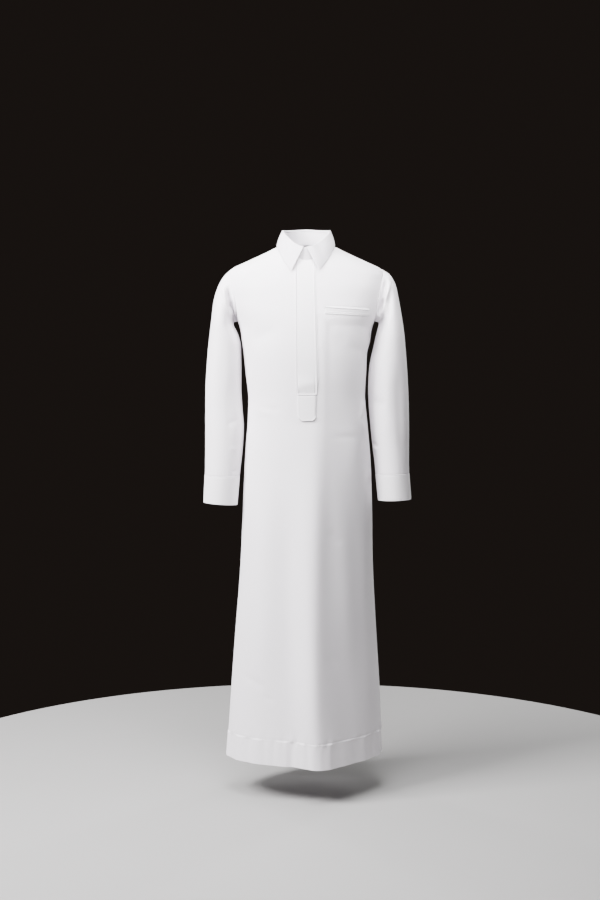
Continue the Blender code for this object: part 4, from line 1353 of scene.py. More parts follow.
@dataclass
class ChestPocket(Overlay):
    """The welt of the chest pocket and the lip of the slit above it."""

    top: tuple[Point, Point] = ((0.0520, -0.1694), (0.1722, -0.1762))
    bottom: tuple[Point, Point] = ((0.0490, -0.1842), (0.1722, -0.1900))
    columns: int = 80
    welt_rows: int = 26
    lip_rows: int = 14
    lip_rise: float = 0.0060
    lip_foot: float = -0.0004
    slit: float = 0.0017
    inset: float = 0.0024
    thread_height: float = 0.0017

    def lip(self, rows: Array, across: Array) -> Pair:
        """The lip's (x, z) grid, over the slit above the welt."""
        x, z = between(*self.top, across)
        return x + 0 * rows[:, None], z + self.lip_rise + self.slit - self.lip_rise * rows[:, None]

    def welt(self, rows: Array, across: Array) -> Pair:
        """The welt's (x, z) grid, between its top and its bottom line."""
        return between(between(*self.top, across), between(*self.bottom, across), rows[:, None])

    def welt_height(self, edges: Edges) -> Array:
        """Stitched down at the sides and the bottom; the top edge stands off, fullest in its middle."""
        belly = np.sin(pi * np.clip(edges.left / (edges.left + edges.right), 0, 1)) ** 0.5
        sewn = round_edge(nearest(edges.left, edges.right, edges.bottom), 0.0010)
        height = 0.0016 * (0.3 + 0.7 * sewn) * (0.35 + 0.65 * round_edge(edges.top, 0.0010))
        open_edge = 0.0011 * belly * np.exp(-edges.top / 0.006)
        troughs = bump(edges.bottom, -0.0005, 0.0024, 0.0009) + bump(edges.bottom, -0.0003, 0.0080, 0.0010)
        return CLOTH.lift + height + open_edge + troughs

    def lip_height(self, edges: Edges) -> Array:
        """A pressed roll along the slit that fades into the front above it."""
        roll = bump(edges.bottom, 0.0021, 0.0, 0.0034) * round_edge(edges.bottom, 0.0011)
        return 0.0003 + roll * ramp(nearest(edges.left, edges.right) / 0.004)

    def build(self) -> None:
        """Build the welt, the lip and the stitching: a line along the bottom and one up each end."""
        across = eased(self.columns, 0.6)
        welt, lip = self.welt(eased(self.welt_rows, 0.6), across), self.lip(eased(self.lip_rows, 0.0), across)
        welt = self.laid("chest_pocket_welt_cloth", welt, self.welt_height, "chest_pocket_welt")
        lip = self.laid("chest_pocket_lip_cloth", lip, self.lip_height, foot=self.lip_foot)
        x, z = between(*self.bottom, np.linspace(0.02, 0.98, 90))
        parts = [self.along(x, z + self.inset, self.thread_height)]
        for (x0, z0), (x1, z1), inset in zip(self.top, self.bottom, (self.inset, -self.inset)):
            x, z = between((x0, z0 - 0.001), (x1, z1 + self.inset), np.linspace(0, 1, 16))
            parts.append(self.along(x + inset, z, self.thread_height))
        thread = self.sewn("chest_pocket_stitching", Slot.SEWN, parts)
        Cut(0.124, 0.020, 0.0022, Held.LAID, ("front_cloth",)).declare(welt, lip, thread)


def pocket_relief(points: Array) -> Array:
    """Hollows of the front behind the chest pocket's slit and beside the placket's free edge."""
    x, z = points[..., 0], points[..., 2]
    (x0, z0), (x1, z1) = ChestPocket.top
    share = (x - x0) / (x1 - x0)
    inside = ramp(share * 20 + 0.3) * ramp((1 - share) * 20 + 0.3)
    hollow = bump(z - (z0 + (z1 - z0) * share), -0.0060, 0.0008, 0.0036) * inside
    beside = x - GUIDES.at("placket_right", z)
    open_part = ramp((z - LEVELS.cross_seam - 0.001) / 0.010) * ramp((-0.03 - z) / 0.01)
    slot = bump(beside, -0.0034, 0.0002, 0.0012) + bump(beside, 0.0005, -0.0034, 0.0022)
    below_welt = np.clip((z0 + z1) / 2 - 0.018 - z, 0, 1)
    sunk = -0.0045 * ramp(below_welt / 0.03) * np.exp(-below_welt / 0.16) * ramp((x - 0.046) / 0.020)
    return hollow + slot * open_part + sunk


@dataclass
class SidePocket(Part):
    """The facing in a side seam's mouth, the stitching of the mouth's edge and its bar tacks."""

    side: Side
    reach_front: float = 0.040
    reach_back: float = 0.020
    past_mouth: float = 0.014
    behind: float = 0.0026
    thickness: float = 0.0009
    stitch_inset: float = 0.0062
    bar_length: float = 0.009
    bar_width: float = 0.0022
    bar_rows: int = 15
    bar_radius: float = 0.00034

    def _on_form(self, y: Array, z: Array, height: float) -> Pair:
        """Points and normals at a depth beside this pocket's side seam, at a height over the form."""
        angle = self.form.angle_at_y(y, z)
        return self.form.raised(angle if self.side is Side.RIGHT else pi - angle, z, height)

    def build(self) -> None:
        """Build the facing, its stitching and the bar tacks."""
        word = self.side.word
        z = np.linspace(LEVELS.mouth_top + self.past_mouth, LEVELS.mouth_end - self.past_mouth, 60)[:, None]
        y, z = np.broadcast_arrays(np.linspace(-self.reach_front, self.reach_back, 26), z)
        outer, normals = self._on_form(y, z, -self.behind)
        shell = Shell(f"side_pocket_facing_{word}_cloth", outer, outer - normals * self.thickness, normals)
        facing = shell.build(self.finishes, Slot.SEWN, f"side_pocket_facing_{word}")
        Cut(0.066, 0.264, 0.017, Held.LAID, ("front_cloth", "back_cloth")).declare(facing, self._stitching())

    def _stitching(self) -> bpy.types.Object:
        """A line beside the mouth's edge and a close-sewn bar at each of its ends."""
        z = np.linspace(LEVELS.mouth_top, LEVELS.mouth_end, 120)
        parts = [LOCKSTITCH.along(*self._on_form(-self.seams.mouth(z) - self.stitch_inset, z, 0.0003))]
        bar = Thread(self.bar_width, self.bar_width * 1.02, self.bar_radius)
        for middle in (LEVELS.mouth_top, LEVELS.mouth_end):
            z = np.linspace(middle - self.bar_width / 2, middle + self.bar_width / 2, 5)
            for share in np.linspace(0, 1, self.bar_rows):
                y = np.full(5, -self.bar_length * (share - 0.25))
                parts.append(bar.along(*self._on_form(y, z, 0.0010)))
        return self.sewn(f"side_pocket_stitching_{self.side.word}", Slot.SEWN, parts)


# ============================================================================ sleeves
SLEEVE_DEPTH = Table("ring middle_y front back power", """
     0  0.002  0.052   0.06  2.2
     1  0.003  0.057  0.063  2.2
     2  0.005  0.063  0.067  2.2
     3  0.007  0.069  0.072  2.2
     4  0.009 0.0735 0.0755  2.2
     5   0.01 0.0745 0.0765  2.2
     6   0.01 0.0735 0.0755 2.15
     7   0.01  0.071  0.073 2.15
     8  0.009  0.068   0.07  2.1
     9  0.007  0.065  0.067  2.1
    10  0.002  0.061  0.062  2.1
    11 -0.004  0.055  0.056    2
    12 -0.011  0.048  0.049 1.95
    13 -0.015 0.0445 0.0445  1.9
    14 -0.022  0.037  0.037  1.8
""")
SLEEVE_COLUMNS = "ring outer_x outer_z inner_x inner_z"
SLEEVE_LINES = {
    Side.RIGHT: Table(SLEEVE_COLUMNS, """
         0  0.208 -0.0585 0.1905  -0.203
         1 0.2277 -0.0766 0.1955 -0.2045
         2 0.2448 -0.1051  0.199 -0.2065
         3 0.2578 -0.1467  0.201 -0.2095
         4 0.2653 -0.2039 0.2015  -0.215
         5 0.2705  -0.245 0.1885  -0.245
         6  0.274  -0.275  0.182  -0.275
         7 0.2787 -0.3318 0.1815 -0.3318
         8  0.282   -0.39  0.182   -0.39
         9 0.2828   -0.44 0.1795   -0.44
        10 0.2829    -0.5  0.175    -0.5
        11 0.2829   -0.55 0.1775  -0.551
        12 0.2831    -0.6  0.183  -0.602
        13 0.2835  -0.631 0.1868  -0.635
        14 0.2866 -0.7081 0.1937 -0.7147
    """),
    Side.LEFT: Table(SLEEVE_COLUMNS, """
         0  0.208 -0.0585 0.1905  -0.203
         1 0.2302 -0.0719 0.1955 -0.2045
         2  0.249 -0.1037  0.199 -0.2065
         3 0.2584 -0.1467  0.201  -0.209
         4 0.2688  -0.205 0.2015  -0.214
         5 0.2745  -0.245 0.1945  -0.245
         6 0.2772  -0.275  0.188  -0.275
         7  0.282 -0.3318 0.1765 -0.3318
         8 0.2855   -0.39 0.1735   -0.39
         9 0.2873   -0.44 0.1755   -0.44
        10 0.2883    -0.5 0.1805    -0.5
        11  0.288   -0.55 0.1855   -0.55
        12 0.2877    -0.6 0.1915  -0.599
        13  0.288  -0.627 0.1945 -0.6285
        14 0.2932 -0.6994  0.202 -0.7022
    """),
}


@dataclass(frozen=True)
class CapFold:
    """A trough of the sleeve cap beside the armhole, over a run of rings."""

    angle: float
    spread: float
    depth: float
    rings: Place

    def squeeze(self, angle: Array, ring: Array) -> Array:
        """Bell curve round the arm times a smooth rise and fall along it."""
        along = np.interp(ring, self.rings, (0.0, 1.0, 0.0))
        return self.depth * np.exp(-0.5 * (wrapped(angle - self.angle) / self.spread) ** 2) * ramp(along)


@dataclass
class Sleeve(Part):
    """One set-in sleeve, from its armhole down, and the cuff below it."""

    side: Side
    folds: tuple[CapFold, ...]
    front_creases: Creases
    back_creases: Creases
    steps: tuple[int, int, int] = (72, 32, 60)
    armhole_reach: float = 2.5
    cuff_ring: float = 13.0
    cuff_rows: int = 48
    cuff_inset: float = 0.0026
    cuff_half: float = 0.0007

    def armhole(self) -> Pair:
        """The armhole once round, from the underarm up the front, over the shoulder and down the back.

        Returns:
            Points and the body's normals there.
        """
        front, top, back = (np.linspace(0, 1, count + 1) for count in self.steps)
        over = np.stack(self.form.on_shoulders(*self.seams.armhole_top(top)[1:].T), axis=1)
        down = self.seams.armhole_back(back)[:-1]
        over[-1] = down[0]
        down[:, 0] = np.minimum(down[:, 0], -1e-9)
        line = np.concatenate([self.seams.armhole_front(front[::-1]), over, down[1:]])
        return self.form.raised(*(mirrored(line) if self.side is Side.LEFT else line).T)

    def _chord(self, ring: Array) -> Pair:
        """A section's middle and half its chord towards the outer end, as on the wearer's left."""
        at, depth = SLEEVE_LINES[self.side].at, SLEEVE_DEPTH.at("middle_y", ring)
        outer = np.stack([at("outer_x", ring), depth, at("outer_z", ring)], axis=-1)
        inner = np.stack([at("inner_x", ring), depth, at("inner_z", ring)], axis=-1)
        return (outer + inner) / 2, (outer - inner) / 2

    def section(self, angle: Array, ring: Array) -> Array:
        """Superellipse about the chord: angle 0 at its outer end, pi/2 in front, pi at its inner end."""
        middle, half = self._chord(ring)
        power = SLEEVE_DEPTH.at("power", ring)
        cos, sin = np.cos(angle), np.sin(angle)
        depth = np.where(sin >= 0, SLEEVE_DEPTH.at("front", ring), SLEEVE_DEPTH.at("back", ring))
        point = middle + (np.sign(cos) * np.abs(cos) ** (2 / power))[..., None] * half
        point[..., 1] -= np.sign(sin) * np.abs(sin) ** (2 / power) * depth
        squeeze = sum(fold.squeeze(angle, ring) for fold in self.folds)
        return point - unit(point - middle) * squeeze[..., None]

    def surface(self, loop: Array, rings: Array) -> Pair:
        """The sleeve's surface: the armhole's own loop, fading into the sections down the arm.

        Args:
            loop: The armhole's points.
            rings: Ring numbers of the rows.

        Returns:
            Points and outward normals.
        """
        mirror = np.array([self.side.value, 1, 1])
        loop = loop * mirror
        middle, half = self._chord(np.array(0.0))
        along = (loop - middle) @ half / (half @ half)
        angle = np.where(loop[:, 1] < middle[1], 1, -1) * np.arccos(np.clip(along, -1, 1))
        angle = np.unwrap(angle[::-1])[::-1] if angle[0] < 0 else np.unwrap(angle)
        ring = np.asarray(rings, float)[:, None]
        near = np.clip(1 - ring / self.armhole_reach, 0, 1)
        even = angle[0] - np.arange(len(angle)) * (2 * pi / len(angle))
        turned = angle * near + even * (1 - near)
        grid = self.section(turned, ring + 0 * turned)
        grid = grid + ramp(near)[..., None] * (loop - self.section(angle, np.zeros(len(angle))))
        x, z, facing = grid[..., 0], grid[..., 2], 3 * np.sin(turned)
        lift = creased(self.front_creases, x, z) * ramp(facing)
        lift = lift + creased(self.back_creases, x, z) * ramp(-facing)
        grid = grid * mirror
        grid = grid + self._outward(grid) * lift[..., None]
        return grid, self._outward(grid)

    @staticmethod
    def _outward(grid: Array) -> Array:
        """Normals of a closed grid, turned away from its middle."""
        across = np.roll(grid, -1, axis=1) - np.roll(grid, 1, axis=1)
        normals = unit(np.cross(np.gradient(grid, axis=0), across))
        return normals * np.sign((normals * (grid - grid.mean(axis=1, keepdims=True))).sum())

    def build(self) -> None:
        """Build the sleeve, its cuff and the cuff's stitching."""
        name = f"sleeve_{self.side.word}"
        loop, loop_normals = self.armhole()
        rings = stepped((0.0, 0.5, 12), (0.5, 4.0, 44), (4.0, 12.6, 92), (12.6, self.cuff_ring, 10))
        grid, normals = self.surface(loop, rings)
        sewn = np.array([1.0, 0.75, 0.5, 0.25])[:, None, None]
        normals[:4] = unit(normals[:4] * (sewn < 1) + loop_normals * sewn)
        edges = Edges.of(grid)
        gather = bump(edges.bottom, 0.0005 * wave(31, edges.left, 0.03, 2), 0.0, 0.02)
        height = seam_trough(edges.top) + gather + bump(edges.bottom, -0.0006, 0.0, 0.002)
        outer = grid + normals * height[..., None]
        outer[0] += np.array([self.side.value, 0, 0]) * CLOTH.seam_gap / 2
        shell = Shell(name + "_cloth", outer, outer - normals * CLOTH.ply, normals, closed=True)
        sleeve = shell.build(self.finishes, Slot.BODY, name)
        cuff, thread = self._cuff(loop)
        Cut(0.46, 0.60, 0.186, Held.HUNG, ("yoke_cloth",)).declare(sleeve)
        Cut(0.26, 0.080, 0.0195, Held.HUNG, (name + "_cloth",)).declare(cuff, thread)

    def _cuff(self, loop: Array) -> tuple[bpy.types.Object, bpy.types.Object]:
        """The cuff: two plies, rounded at both edges, stitched beside each, and the cuff's thread."""
        name = f"cuff_{self.side.word}"
        grid, normals = self.surface(loop, self.cuff_ring + eased(self.cuff_rows, 0.72))
        edges = Edges.of(grid)
        both = nearest(edges.top, edges.bottom)
        height = 0.0011 * round_edge(both, 0.0010) + bump(both, -0.0005, self.cuff_inset, 0.0010)
        outer = grid + normals * np.maximum(height, 0.0001)[..., None]
        outer[0] += unit(outer[1] - outer[0]) * 0.0001
        shell = Shell(name + "_cloth", outer, grid - normals * self.cuff_half, normals, closed=True)
        cuff = shell.build(self.finishes, Slot.SEWN, name)
        parts = []
        for distance in (edges.top, edges.bottom):
            row = int(np.argmin(np.abs(distance[:, 0] - self.cuff_inset)))
            rings = grid[row] + normals[row] * 0.0006, normals[row]
            parts.append(LOCKSTITCH.along(*(np.concatenate([ring, ring[:1]]) for ring in rings)))
        return cuff, self.sewn(f"cuff_stitching_{self.side.word}", Slot.SEWN, parts)


# ============================================================================ collar
STAND_HEIGHT = Table("angle height", """
      0  0.029
     45  0.031
     90  0.033
    180 0.0365
""")
LEAF_EDGE = Table("angle x y z", """
    4.6  0.038 -0.0985  -0.067
     22   0.05 -0.0865   -0.05
     42 0.0615 -0.0735 -0.0345
     62  0.071  -0.055  -0.016
     80 0.0775  -0.033  -0.002
    100   0.08  -0.008  0.0055
    122  0.077    0.02   0.007
    145  0.061   0.048  0.0075
    165  0.033    0.07  0.0065
    180      0   0.077   0.006
""")


@dataclass
class Collar(Part):
    """The stand round the neck and the leaf turned down over it; its angles are in degrees from the front."""

    lean: float = 0.0010
    lap: float = 0.0024
    leaf_over_stand: float = 0.0005
    leaf_rise: float = 0.0018
    roll: float = 0.0054
    leaf_middle: float = -3.0
    leaf_end: float = 4.6
    leaf_bow: float = 0.0020
    leaf_shift: float = -0.003
    leaf_thickness: float = 0.0017
    leaf_inset: float = 0.0045
    stand_thickness: float = 0.0018
    stand_rounding: float = 0.0006
    gap_rise: float = 0.0054
    stand_rows: int = 20
    leaf_columns: int = 220
    button: Point = (-0.0022, -0.0235)
    button_radius: float = 0.0050
    button_height: float = 0.00055

    def _off_middle(self, angle: Array) -> Array:
        """Degrees from the leaf's middle in front, over 0 on the wearer's left."""
        return np.degrees(wrapped(angle - radians(self.leaf_middle)))

    def _stand_height(self, angle: Array) -> Array:
        """Height of the stand by the angle from the front."""
        return STAND_HEIGHT.at("height", np.degrees(np.abs(wrapped(angle))))

    def stand(self) -> None:
        """The stand: a band on the neckline whose left end laps outside its right one in front.

        The left end moves out by a smoothstep of the angle. Between the leaf's ends its top rises to the
        fold, as the leaf isn't there to cover it.
        """
        places, steps = (8.0, 4.0, -10.0, -354.0, -370.0, -384.0), (4, 84, 240, 96, 12)
        turn = stepped(*zip(places, places[1:], steps))
        angle = np.radians(turn)
        share = ramp((-321.0 - turn) / 20.3)
        out = LEVELS.neck_outward(angle)
        foot, foot_normals = self.form.raised(*self.form.on_shoulders(*LEVELS.neck_plan(angle)))
        foot = foot + UP * CLOTH.lift + out * (self.lap * share - 0.0001)[:, None]
        off = np.abs(self._off_middle(angle))
        rise = self.gap_rise * ramp((self.leaf_end - 0.10 - off) / 0.55)
        height = self._stand_height(angle) + rise * (off < self.leaf_end)
        down = eased(self.stand_rows, 0.5)[:, None, None]
        top = foot - out * self.lean + UP * height[:, None]
        grid = top * (1 - down) + foot * down
        tilt = 0.35 * down**6
        normals = unit(out[None] * (1 - tilt) + foot_normals[None] * tilt)
        edges = Edges.of(grid)
        rolled = self.stand_rounding * (1 - round_edge(nearest(edges.left, edges.right, edges.top), 0.0010))
        x, y, z = np.moveaxis(grid, -1, 0)
        from_button = ((x - self.button[0]) ** 2 + (z - self.button[1]) ** 2) / self.button_radius**2
        swell = self.button_height * np.exp(-(from_button**2)) * ((y < 0) & (share[None, :] > 0.5))
        outer = grid + normals * (swell - rolled)[..., None]
        inner = grid - normals * (self.stand_thickness - rolled)[..., None]
        shell = Shell("collar_stand_cloth", outer, inner, normals)
        piece = shell.build(self.finishes, Slot.COLLAR, "collar_stand")
        Cut(0.455, 0.037, 0.0152, Held.HUNG, ("yoke_cloth", "front_cloth")).declare(piece)

    def leaf_path(self, angle: Array) -> Array:
        """The leaf's middle surface: up from the stand, round a half-circle roll, and down to its edge.

        Args:
            angle: Neck angles of the columns.

        Returns:
            Grid (rows, columns, 3) from inside the roll to the edge.
        """
        off = self._off_middle(angle)
        away, side = np.abs(off), np.where(off > 0, 1, -1)
        lap = self.lap * ramp(np.clip(1 - np.degrees(np.abs(wrapped(angle))) / 30, 0, 1) * 1.5)[:, None]
        out = LEVELS.neck_outward(angle)
        x, y = LEVELS.neck_plan(angle)
        foot = np.stack([x, y, self.form.on_shoulders(x, y)[1]], axis=-1) + UP * CLOTH.lift
        inside = foot + out * (np.where(off[:, None] > 0, lap, 0) - self.lean - 0.0010)
        start = inside + UP * (self._stand_height(angle)[:, None] + self.leaf_over_stand)
        radius = (self.roll + lap) / 2
        turns = np.linspace(pi, 0, 15)[:, None, None]
        centre = start + UP * self.leaf_rise + out * radius
        rolled = centre + (out * np.cos(turns) + UP * np.sin(turns)) * radius
        x, y, z = (LEAF_EDGE.at(axis, away) for axis in "xyz")
        edge = np.stack([side * x + self.leaf_shift * np.cos(np.radians(away) / 2) ** 2, y, z], axis=-1)
        share = stepped((0.0, 0.86, 24), (0.86, 1.0, 12))[1:, None, None]
        fall = rolled[-1] * (1 - share) + edge * share + out * self.leaf_bow * 4 * share * (1 - share)
        return np.concatenate([start[None], rolled, fall])

    def leaf(self) -> None:
        """The leaf with its rounded edges, a stitched line beside them, and soft unevenness."""
        span = eased(self.leaf_columns, 0.55) * (360 - 2 * self.leaf_end) + self.leaf_end
        angle = np.radians(self.leaf_middle - span)
        middle = self.leaf_path(angle)
        normals = unit(np.cross(np.gradient(middle, axis=0), np.gradient(middle, axis=1)))
        normals = normals * np.sign((normals[-1] * LEVELS.neck_outward(angle)).sum())
        edges = Edges.of(middle)
        rim = nearest(edges.left, edges.right, edges.bottom)
        half = self.leaf_thickness / 2 * round_edge(rim, 0.0011)
        free = ramp((edges.top - 0.012) / 0.02)
        uneven = 0.0005 * wave(41, edges.left, 0.12, 2) * free
        trough = bump(rim, -0.00025 * free, self.leaf_inset, 0.0009)
        outer = middle + normals * (half + uneven + trough)[..., None]
        shell = Shell("collar_leaf_cloth", outer, middle - normals * (half - uneven)[..., None], normals)
        piece = shell.build(self.finishes, Slot.COLLAR, "collar_leaf")
        thread = self._stitching(outer, normals, edges)
        Cut(0.50, 0.075, 0.0275, Held.FOLDED, ("collar_stand_cloth",)).declare(piece, thread)

    def _stitching(self, outer: Array, normals: Array, edges: Edges) -> bpy.types.Object:
        """Thread along the leaf's lower edge and both its ends, a small step in."""

        def beside(distance: Array) -> int:
            """Number of the place nearest to the inset."""
            return int(np.argmin(np.abs(distance - self.leaf_inset)))

        count, rolled_rows = outer.shape[1], 18
        row = beside(edges.bottom[:, count // 2])
        first, last, down = beside(edges.left[-1]), beside(edges.right[-1]), slice(rolled_rows, row + 1)
        lines = (row, slice(first, count - first)), (down, first), (down, last)
        parts = [LOCKSTITCH.along(outer[line], normals[line]) for line in lines]
        return self.sewn("collar_stitching", Slot.COLLAR, parts)


# ============================================================================ seams' thread
@dataclass
class SeamThread(Part):
    """The topstitching of the body's long seams."""

    inset: float = 0.0052

    def hem(self, panels: tuple[Shell, ...]) -> bpy.types.Object:
        """One line all round at the top of the turn-up, on the cloth's own puckered surface."""
        parts = [LOCKSTITCH.along(*panel.level_line(LEVELS.stitched)) for panel in panels]
        return self.sewn("hem_stitching", Slot.BODY, parts)

    def yoke(self) -> bpy.types.Object:
        """Lines on the yoke beside its back seam and its shoulder seams."""
        angle, z = self.seams.yoke_seam(np.linspace(0.02, 0.98, 240)).T
        x = np.linspace(LEVELS.neck_half_width + 0.004, LEVELS.shoulder_x - 0.004, 120)
        y = np.full(len(x), self.inset - LEVELS.seam_forward)
        lines = [(angle, z + self.inset), *(self.form.on_shoulders(side.value * x, y) for side in Side)]
        parts = [LOCKSTITCH.along(*self.form.raised(*line)) for line in lines]
        return self.sewn("yoke_stitching", Slot.BODY, parts)

    def sides(self) -> bpy.types.Object:
        """Edge stitching beside both side seams, outside the pockets' mouths."""
        parts = []
        for start, end in ((LEVELS.chest, LEVELS.mouth_top), (LEVELS.mouth_end, LEVELS.hem + 0.004)):
            z = np.linspace(start, end, 400)
            angle = self.form.angle_at_y(np.full(len(z), -self.inset - 0.0008), z)
            for turned in (angle, pi - angle):
                parts.append(LOCKSTITCH.along(*self.form.raised(turned, z, -0.0002)))
        return self.sewn("side_seam_stitching", Slot.BODY, parts)


# ============================================================================ this garment
STANDING_FOLDS = (
    StandingFold(True, -0.480, (-0.004, 0.013, 0.042), 0.0445, 0.036, 0.055, 0.9),
    StandingFold(False, -0.560, (-0.052, -0.066, -0.080), 0.019, 0.042, 0.040),
    StandingFold(False, -0.600, (0.046, 0.062, 0.076), 0.016, 0.040, 0.044),
)
CAP_FOLDS = (
    CapFold(2.42, 0.34, 0.0095, (0.5, 2.9, 5.2)),
    CapFold(-2.45, 0.36, 0.0075, (0.5, 2.7, 5.0)),
)
FRONT_CREASES = creases("""
    0.0297  -0.36 0.0138  -1.62 0.0211  0.0075  0.0018
     0.075   -0.2   0.09  -1.05  0.034 -0.0054  -0.015
    0.0747   -0.5 0.1659  -1.62 0.0246   0.006 -0.0061
    -0.136 -0.441 -0.062 -0.443 0.0045 -0.0011   0.002
     -0.15 -0.452 -0.085 -0.456  0.007   0.001  -0.003
     0.068 -0.517   0.15 -0.522 0.0042 -0.0009   0.002
     0.092 -0.506  0.142 -0.512 0.0042  0.0005  -0.007
     0.058 -0.769  0.106 -0.815  0.006  -0.001   0.004
     0.046 -1.112  0.082 -1.166 0.0062 -0.0009  -0.006
     0.159  -0.42 0.1495 -0.476  0.004  0.0038       0 0.25
    0.1475  -0.47 0.1655  -0.52 0.0038  0.0036  -0.002 0.25
    0.1645 -0.506 0.1785  -0.65  0.004   0.004  -0.003 0.15
     0.156   -0.5   0.17  -0.64  0.005 -0.0032  -0.003 0.25
     -0.16  -0.43 -0.153  -0.48 0.0032  0.0018   0.001 0.25
    -0.161   -0.5 -0.174  -0.64 0.0034   0.002   0.002  0.2
    -0.176 -1.178 -0.108 -1.214  0.006 -0.0013   0.004
    -0.118 -1.233 -0.088 -1.249 0.0045 -0.0012   0.001
    -0.165 -0.262  -0.06 -0.205  0.013 -0.0022   0.006
     0.162 -0.285   0.07 -0.235  0.015 -0.0021  -0.006
     -0.06  -0.06 -0.175 -0.105  0.012 -0.0014   0.006
     0.062 -0.062  0.178 -0.098  0.012 -0.0012  -0.005
    -0.155   -0.3 -0.135  -0.62  0.014   0.002    0.01
      0.15  -0.33  0.128  -0.64  0.015  0.0018  -0.008
    -0.104  -0.56  -0.12  -1.33  0.024   0.005    0.01
     -0.05  -0.64 -0.038  -1.38   0.02  -0.004   0.006
     0.124  -0.62   0.15  -1.34  0.022 -0.0036  -0.008
     0.158   -0.7   0.18   -1.4  0.016  0.0034   0.004
""")
BACK_CREASES = creases("""
     -0.15  -0.15  -0.06  -0.25  0.012 -0.0026  0.008
     0.152 -0.155  0.066 -0.262  0.013 -0.0024 -0.008
     -0.12  -0.35   0.02 -0.372  0.009  0.0022  0.006
     0.128 -0.372   0.03 -0.398  0.008  0.0018 -0.004
      -0.1 -0.405   0.06 -0.415 0.0085  -0.002  0.005
     -0.07 -0.445 -0.135  -0.48  0.007  0.0016  0.003
      0.01  -0.52  0.004  -1.38  0.022  -0.005  0.006
    -0.125  -0.64 -0.148  -1.37   0.02 -0.0036  0.007
      0.12  -0.66   0.14  -1.39   0.02 -0.0034 -0.007
      0.02  -0.11   0.03   -0.3  0.016 -0.0016  0.004
""")
# The sleeves' creases are placed by the distance from the garment's middle and the height.
SLEEVE_FRONT_CREASES = {
    Side.RIGHT: creases("""
        0.2185 -0.104 0.1925 -0.222 0.0046  -0.016      0 0.26
        0.2105 -0.138 0.1915 -0.226  0.005   -0.01      0 0.35
         0.229 -0.098  0.216 -0.172  0.004   0.004 -0.002
         0.219 -0.152  0.196 -0.238  0.004  0.0036  0.001
          0.24  -0.25   0.23  -0.56  0.015 -0.0022  0.004
         0.205  -0.33  0.208  -0.58  0.009 -0.0026 -0.004
         0.183  -0.47  0.225 -0.488  0.005 -0.0016  0.003
         0.186  -0.56  0.215 -0.551  0.004  0.0014  0.002
         0.188 -0.612  0.208 -0.622 0.0032 -0.0016  0.001
    """),
    Side.LEFT: creases("""
        0.2206 -0.086    0.2  -0.19 0.0038 -0.0098      0 0.22
        0.2098 -0.136 0.2005  -0.19 0.0036  -0.011      0  0.3
        0.2285  -0.09 0.2125 -0.157  0.004  0.0048 -0.003
         0.214 -0.138 0.1945 -0.252  0.004  0.0042      0
        0.2325 -0.104 0.2185 -0.215 0.0056 -0.0052 -0.002
         0.193  -0.16  0.203 -0.167 0.0022  0.0012
         0.182 -0.535  0.202 -0.552 0.0034 -0.0026  0.002
         0.184 -0.553  0.201  -0.56  0.003  0.0016  0.001
          0.18  -0.41   0.22  -0.44  0.008  -0.002  0.004
         0.256   -0.3  0.268   -0.6  0.009 -0.0024  0.004
         0.225  -0.28  0.228  -0.56  0.011  0.0024  0.003
    """),
}
SLEEVE_BACK_CREASES = {
    Side.RIGHT: creases("""
        0.214 -0.12 0.196 -0.222 0.005  -0.007     0 0.35
        0.184 -0.44  0.25 -0.466 0.008  -0.003 0.006
        0.186  -0.5  0.24 -0.486 0.007  0.0026 0.004
        0.236 -0.24  0.23   -0.6 0.015 -0.0028 0.006
    """),
    Side.LEFT: creases("""
        0.215 -0.118 0.195 -0.224 0.0052 -0.0074      0 0.35
        0.183  -0.43 0.244  -0.47  0.008  -0.003  0.005
        0.185  -0.52  0.25 -0.498 0.0072  0.0024  0.004
        0.244  -0.25 0.236   -0.6  0.015 -0.0026 -0.006
    """),
}


# ============================================================================ the studio
@dataclass(frozen=True)
class SoftLight:
    """A square area light that looks at a point of the robe."""

    name: str
    place: Place
    size: Point
    power: float
    colour: Place = (1.0, 1.0, 1.0)
    aim: Place = (0.0, 0.0, -0.45)
    spread: float = 180.0

    def hang(self) -> None:
        """Make the light."""
        light = bpy.data.lights.new(self.name, "AREA")
        light.shape = "RECTANGLE"
        light.size, light.size_y = self.size
        light.energy = self.power
        light.color = self.colour
        light.spread = radians(self.spread)
        lamp = bpy.data.objects.new(self.name, light)
        lamp.location = self.place
        lamp.rotation_euler = (Vector(self.aim) - Vector(self.place)).to_track_quat("-Z", "Y").to_euler()
        bpy.context.scene.collection.objects.link(lamp)


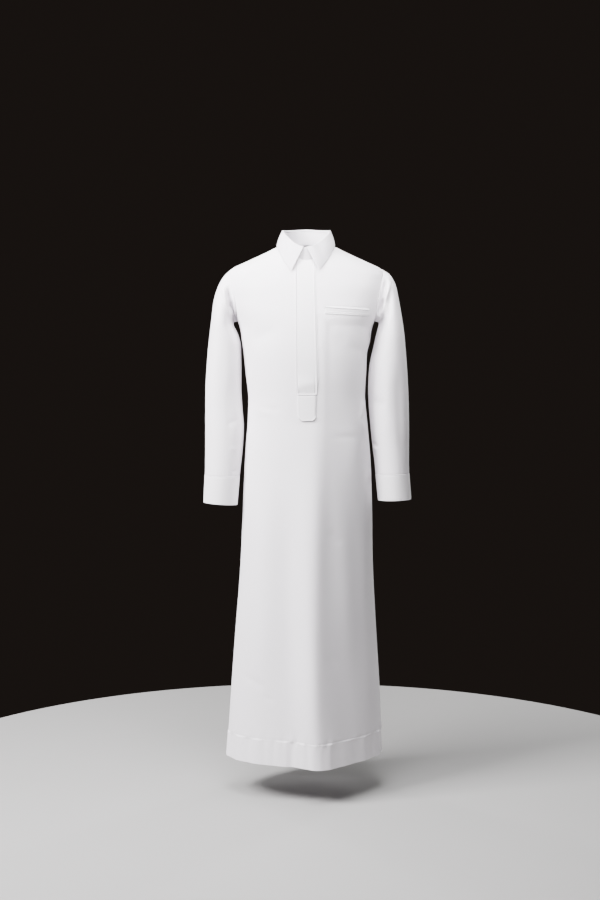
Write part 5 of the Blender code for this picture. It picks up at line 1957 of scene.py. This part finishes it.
@dataclass(frozen=True)
class Studio:
    """Camera, world, lights and the plain round floor."""

    lens: float = 60.0
    sensor_width: float = 36.0
    camera_place: Place = (-0.0175, -4.2, -0.2554)
    camera_dip: float = 4.19
    floor_height: float = -1.530
    floor_radius: float = 1.30
    floor_steps: int = 48
    backdrop: Place = (0.0130, 0.0100, 0.0085)
    lights: tuple[SoftLight, ...] = (
        SoftLight("key", (-1.611, -1.007, 0.70), (0.9, 1.1), 226.0, (1.0, 0.985, 1.0)),
        SoftLight("top", (-0.156, -0.986, 1.30), (1.2, 1.2), 120.0, (0.99, 0.985, 1.0)),
        SoftLight(
            "chest_fill", (0.42, -1.30, 0.45), (0.5, 0.5), 1.35, (1.0, 0.985, 1.0), (0.12, -0.08, -0.01), 26.0
        ),
        SoftLight("rim_right", (-1.70, 2.02, 0.10), (0.3, 2.2), 36.0),
        SoftLight("rim_left", (1.70, 2.02, 0.10), (0.3, 2.2), 42.0),
    )

    def set_up(self) -> None:
        """Build all of it."""
        self._camera()
        self._world()
        for light in self.lights:
            light.hang()
        self._floor()

    def _camera(self) -> None:
        """The camera, level with the cross seam and dipped a little."""
        data = bpy.data.cameras.new("camera")
        data.lens, data.sensor_width = self.lens, self.sensor_width
        camera = bpy.data.objects.new("camera", data)
        camera.location = self.camera_place
        camera.rotation_euler = (radians(90 - self.camera_dip), 0, 0)
        bpy.context.scene.collection.objects.link(camera)
        bpy.context.scene.camera = camera

    def _world(self) -> None:
        """A plain dim grey backdrop."""
        world = bpy.data.worlds.new("studio")
        world.use_nodes = True
        background = world.node_tree.nodes["Background"]
        background.inputs["Color"].default_value = (*self.backdrop, 1.0)
        background.inputs["Strength"].default_value = 1.0
        bpy.context.scene.world = world

    def _floor(self) -> None:
        """A pale disc: a square grid drawn out to a circle, x = u sqrt(1 - v^2/2) and y alike."""
        line = np.linspace(-1, 1, self.floor_steps + 1)
        u, v = np.meshgrid(line, line, indexing="ij")
        disc = np.stack([u * np.sqrt(1 - v**2 / 2), v * np.sqrt(1 - u**2 / 2), 0 * u], axis=-1)
        points = (disc * self.floor_radius + UP * self.floor_height).reshape(-1, 3)
        floor = mesh_object("floor", points, cells(np.arange(u.size).reshape(u.shape))[:, [0, 3, 2, 1]])
        floor.data.materials.append(FloorFinish().material())
        floor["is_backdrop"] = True


# ============================================================================ assembly
def build_robe() -> None:
    """Build every piece on its form, in the order in which the garment is sewn."""
    form = BodyForm(BODY_SECTIONS, STANDING_FOLDS, FRONT_CREASES, BACK_CREASES)
    shared = (form, SeamLines(form), Wardrobe.make())
    front, back, yoke, thread = FrontPanel(*shared), BackPanel(*shared), Yoke(*shared), SeamThread(*shared)
    cloths = (front.cloth(), back.cloth())
    hem, shoulders, sides = thread.hem(cloths), thread.yoke(), thread.sides()
    front.build(cloths[0], hem, sides)
    back.build(cloths[1])
    yoke.build(yoke.cloth(), shoulders)
    for side in Side:
        SidePocket(*shared, side).build()
        Sleeve(*shared, side, CAP_FOLDS, SLEEVE_FRONT_CREASES[side], SLEEVE_BACK_CREASES[side]).build()
    Placket(*shared).build()
    ChestPocket(*shared).build()
    collar = Collar(*shared)
    collar.stand()
    collar.leaf()


def write_bounds() -> None:
    boxes = {"cad": cad_bounds, "visual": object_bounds()}
    plain = {name: [list(corner) for corner in box] for name, box in boxes.items()}


def main() -> None:
    """Build the robe and the studio round it."""
    logging.basicConfig(level=logging.INFO, format="%(message)s")
    build_robe()
    Studio().set_up()
    write_bounds()


if __name__ == "__main__":
    main()
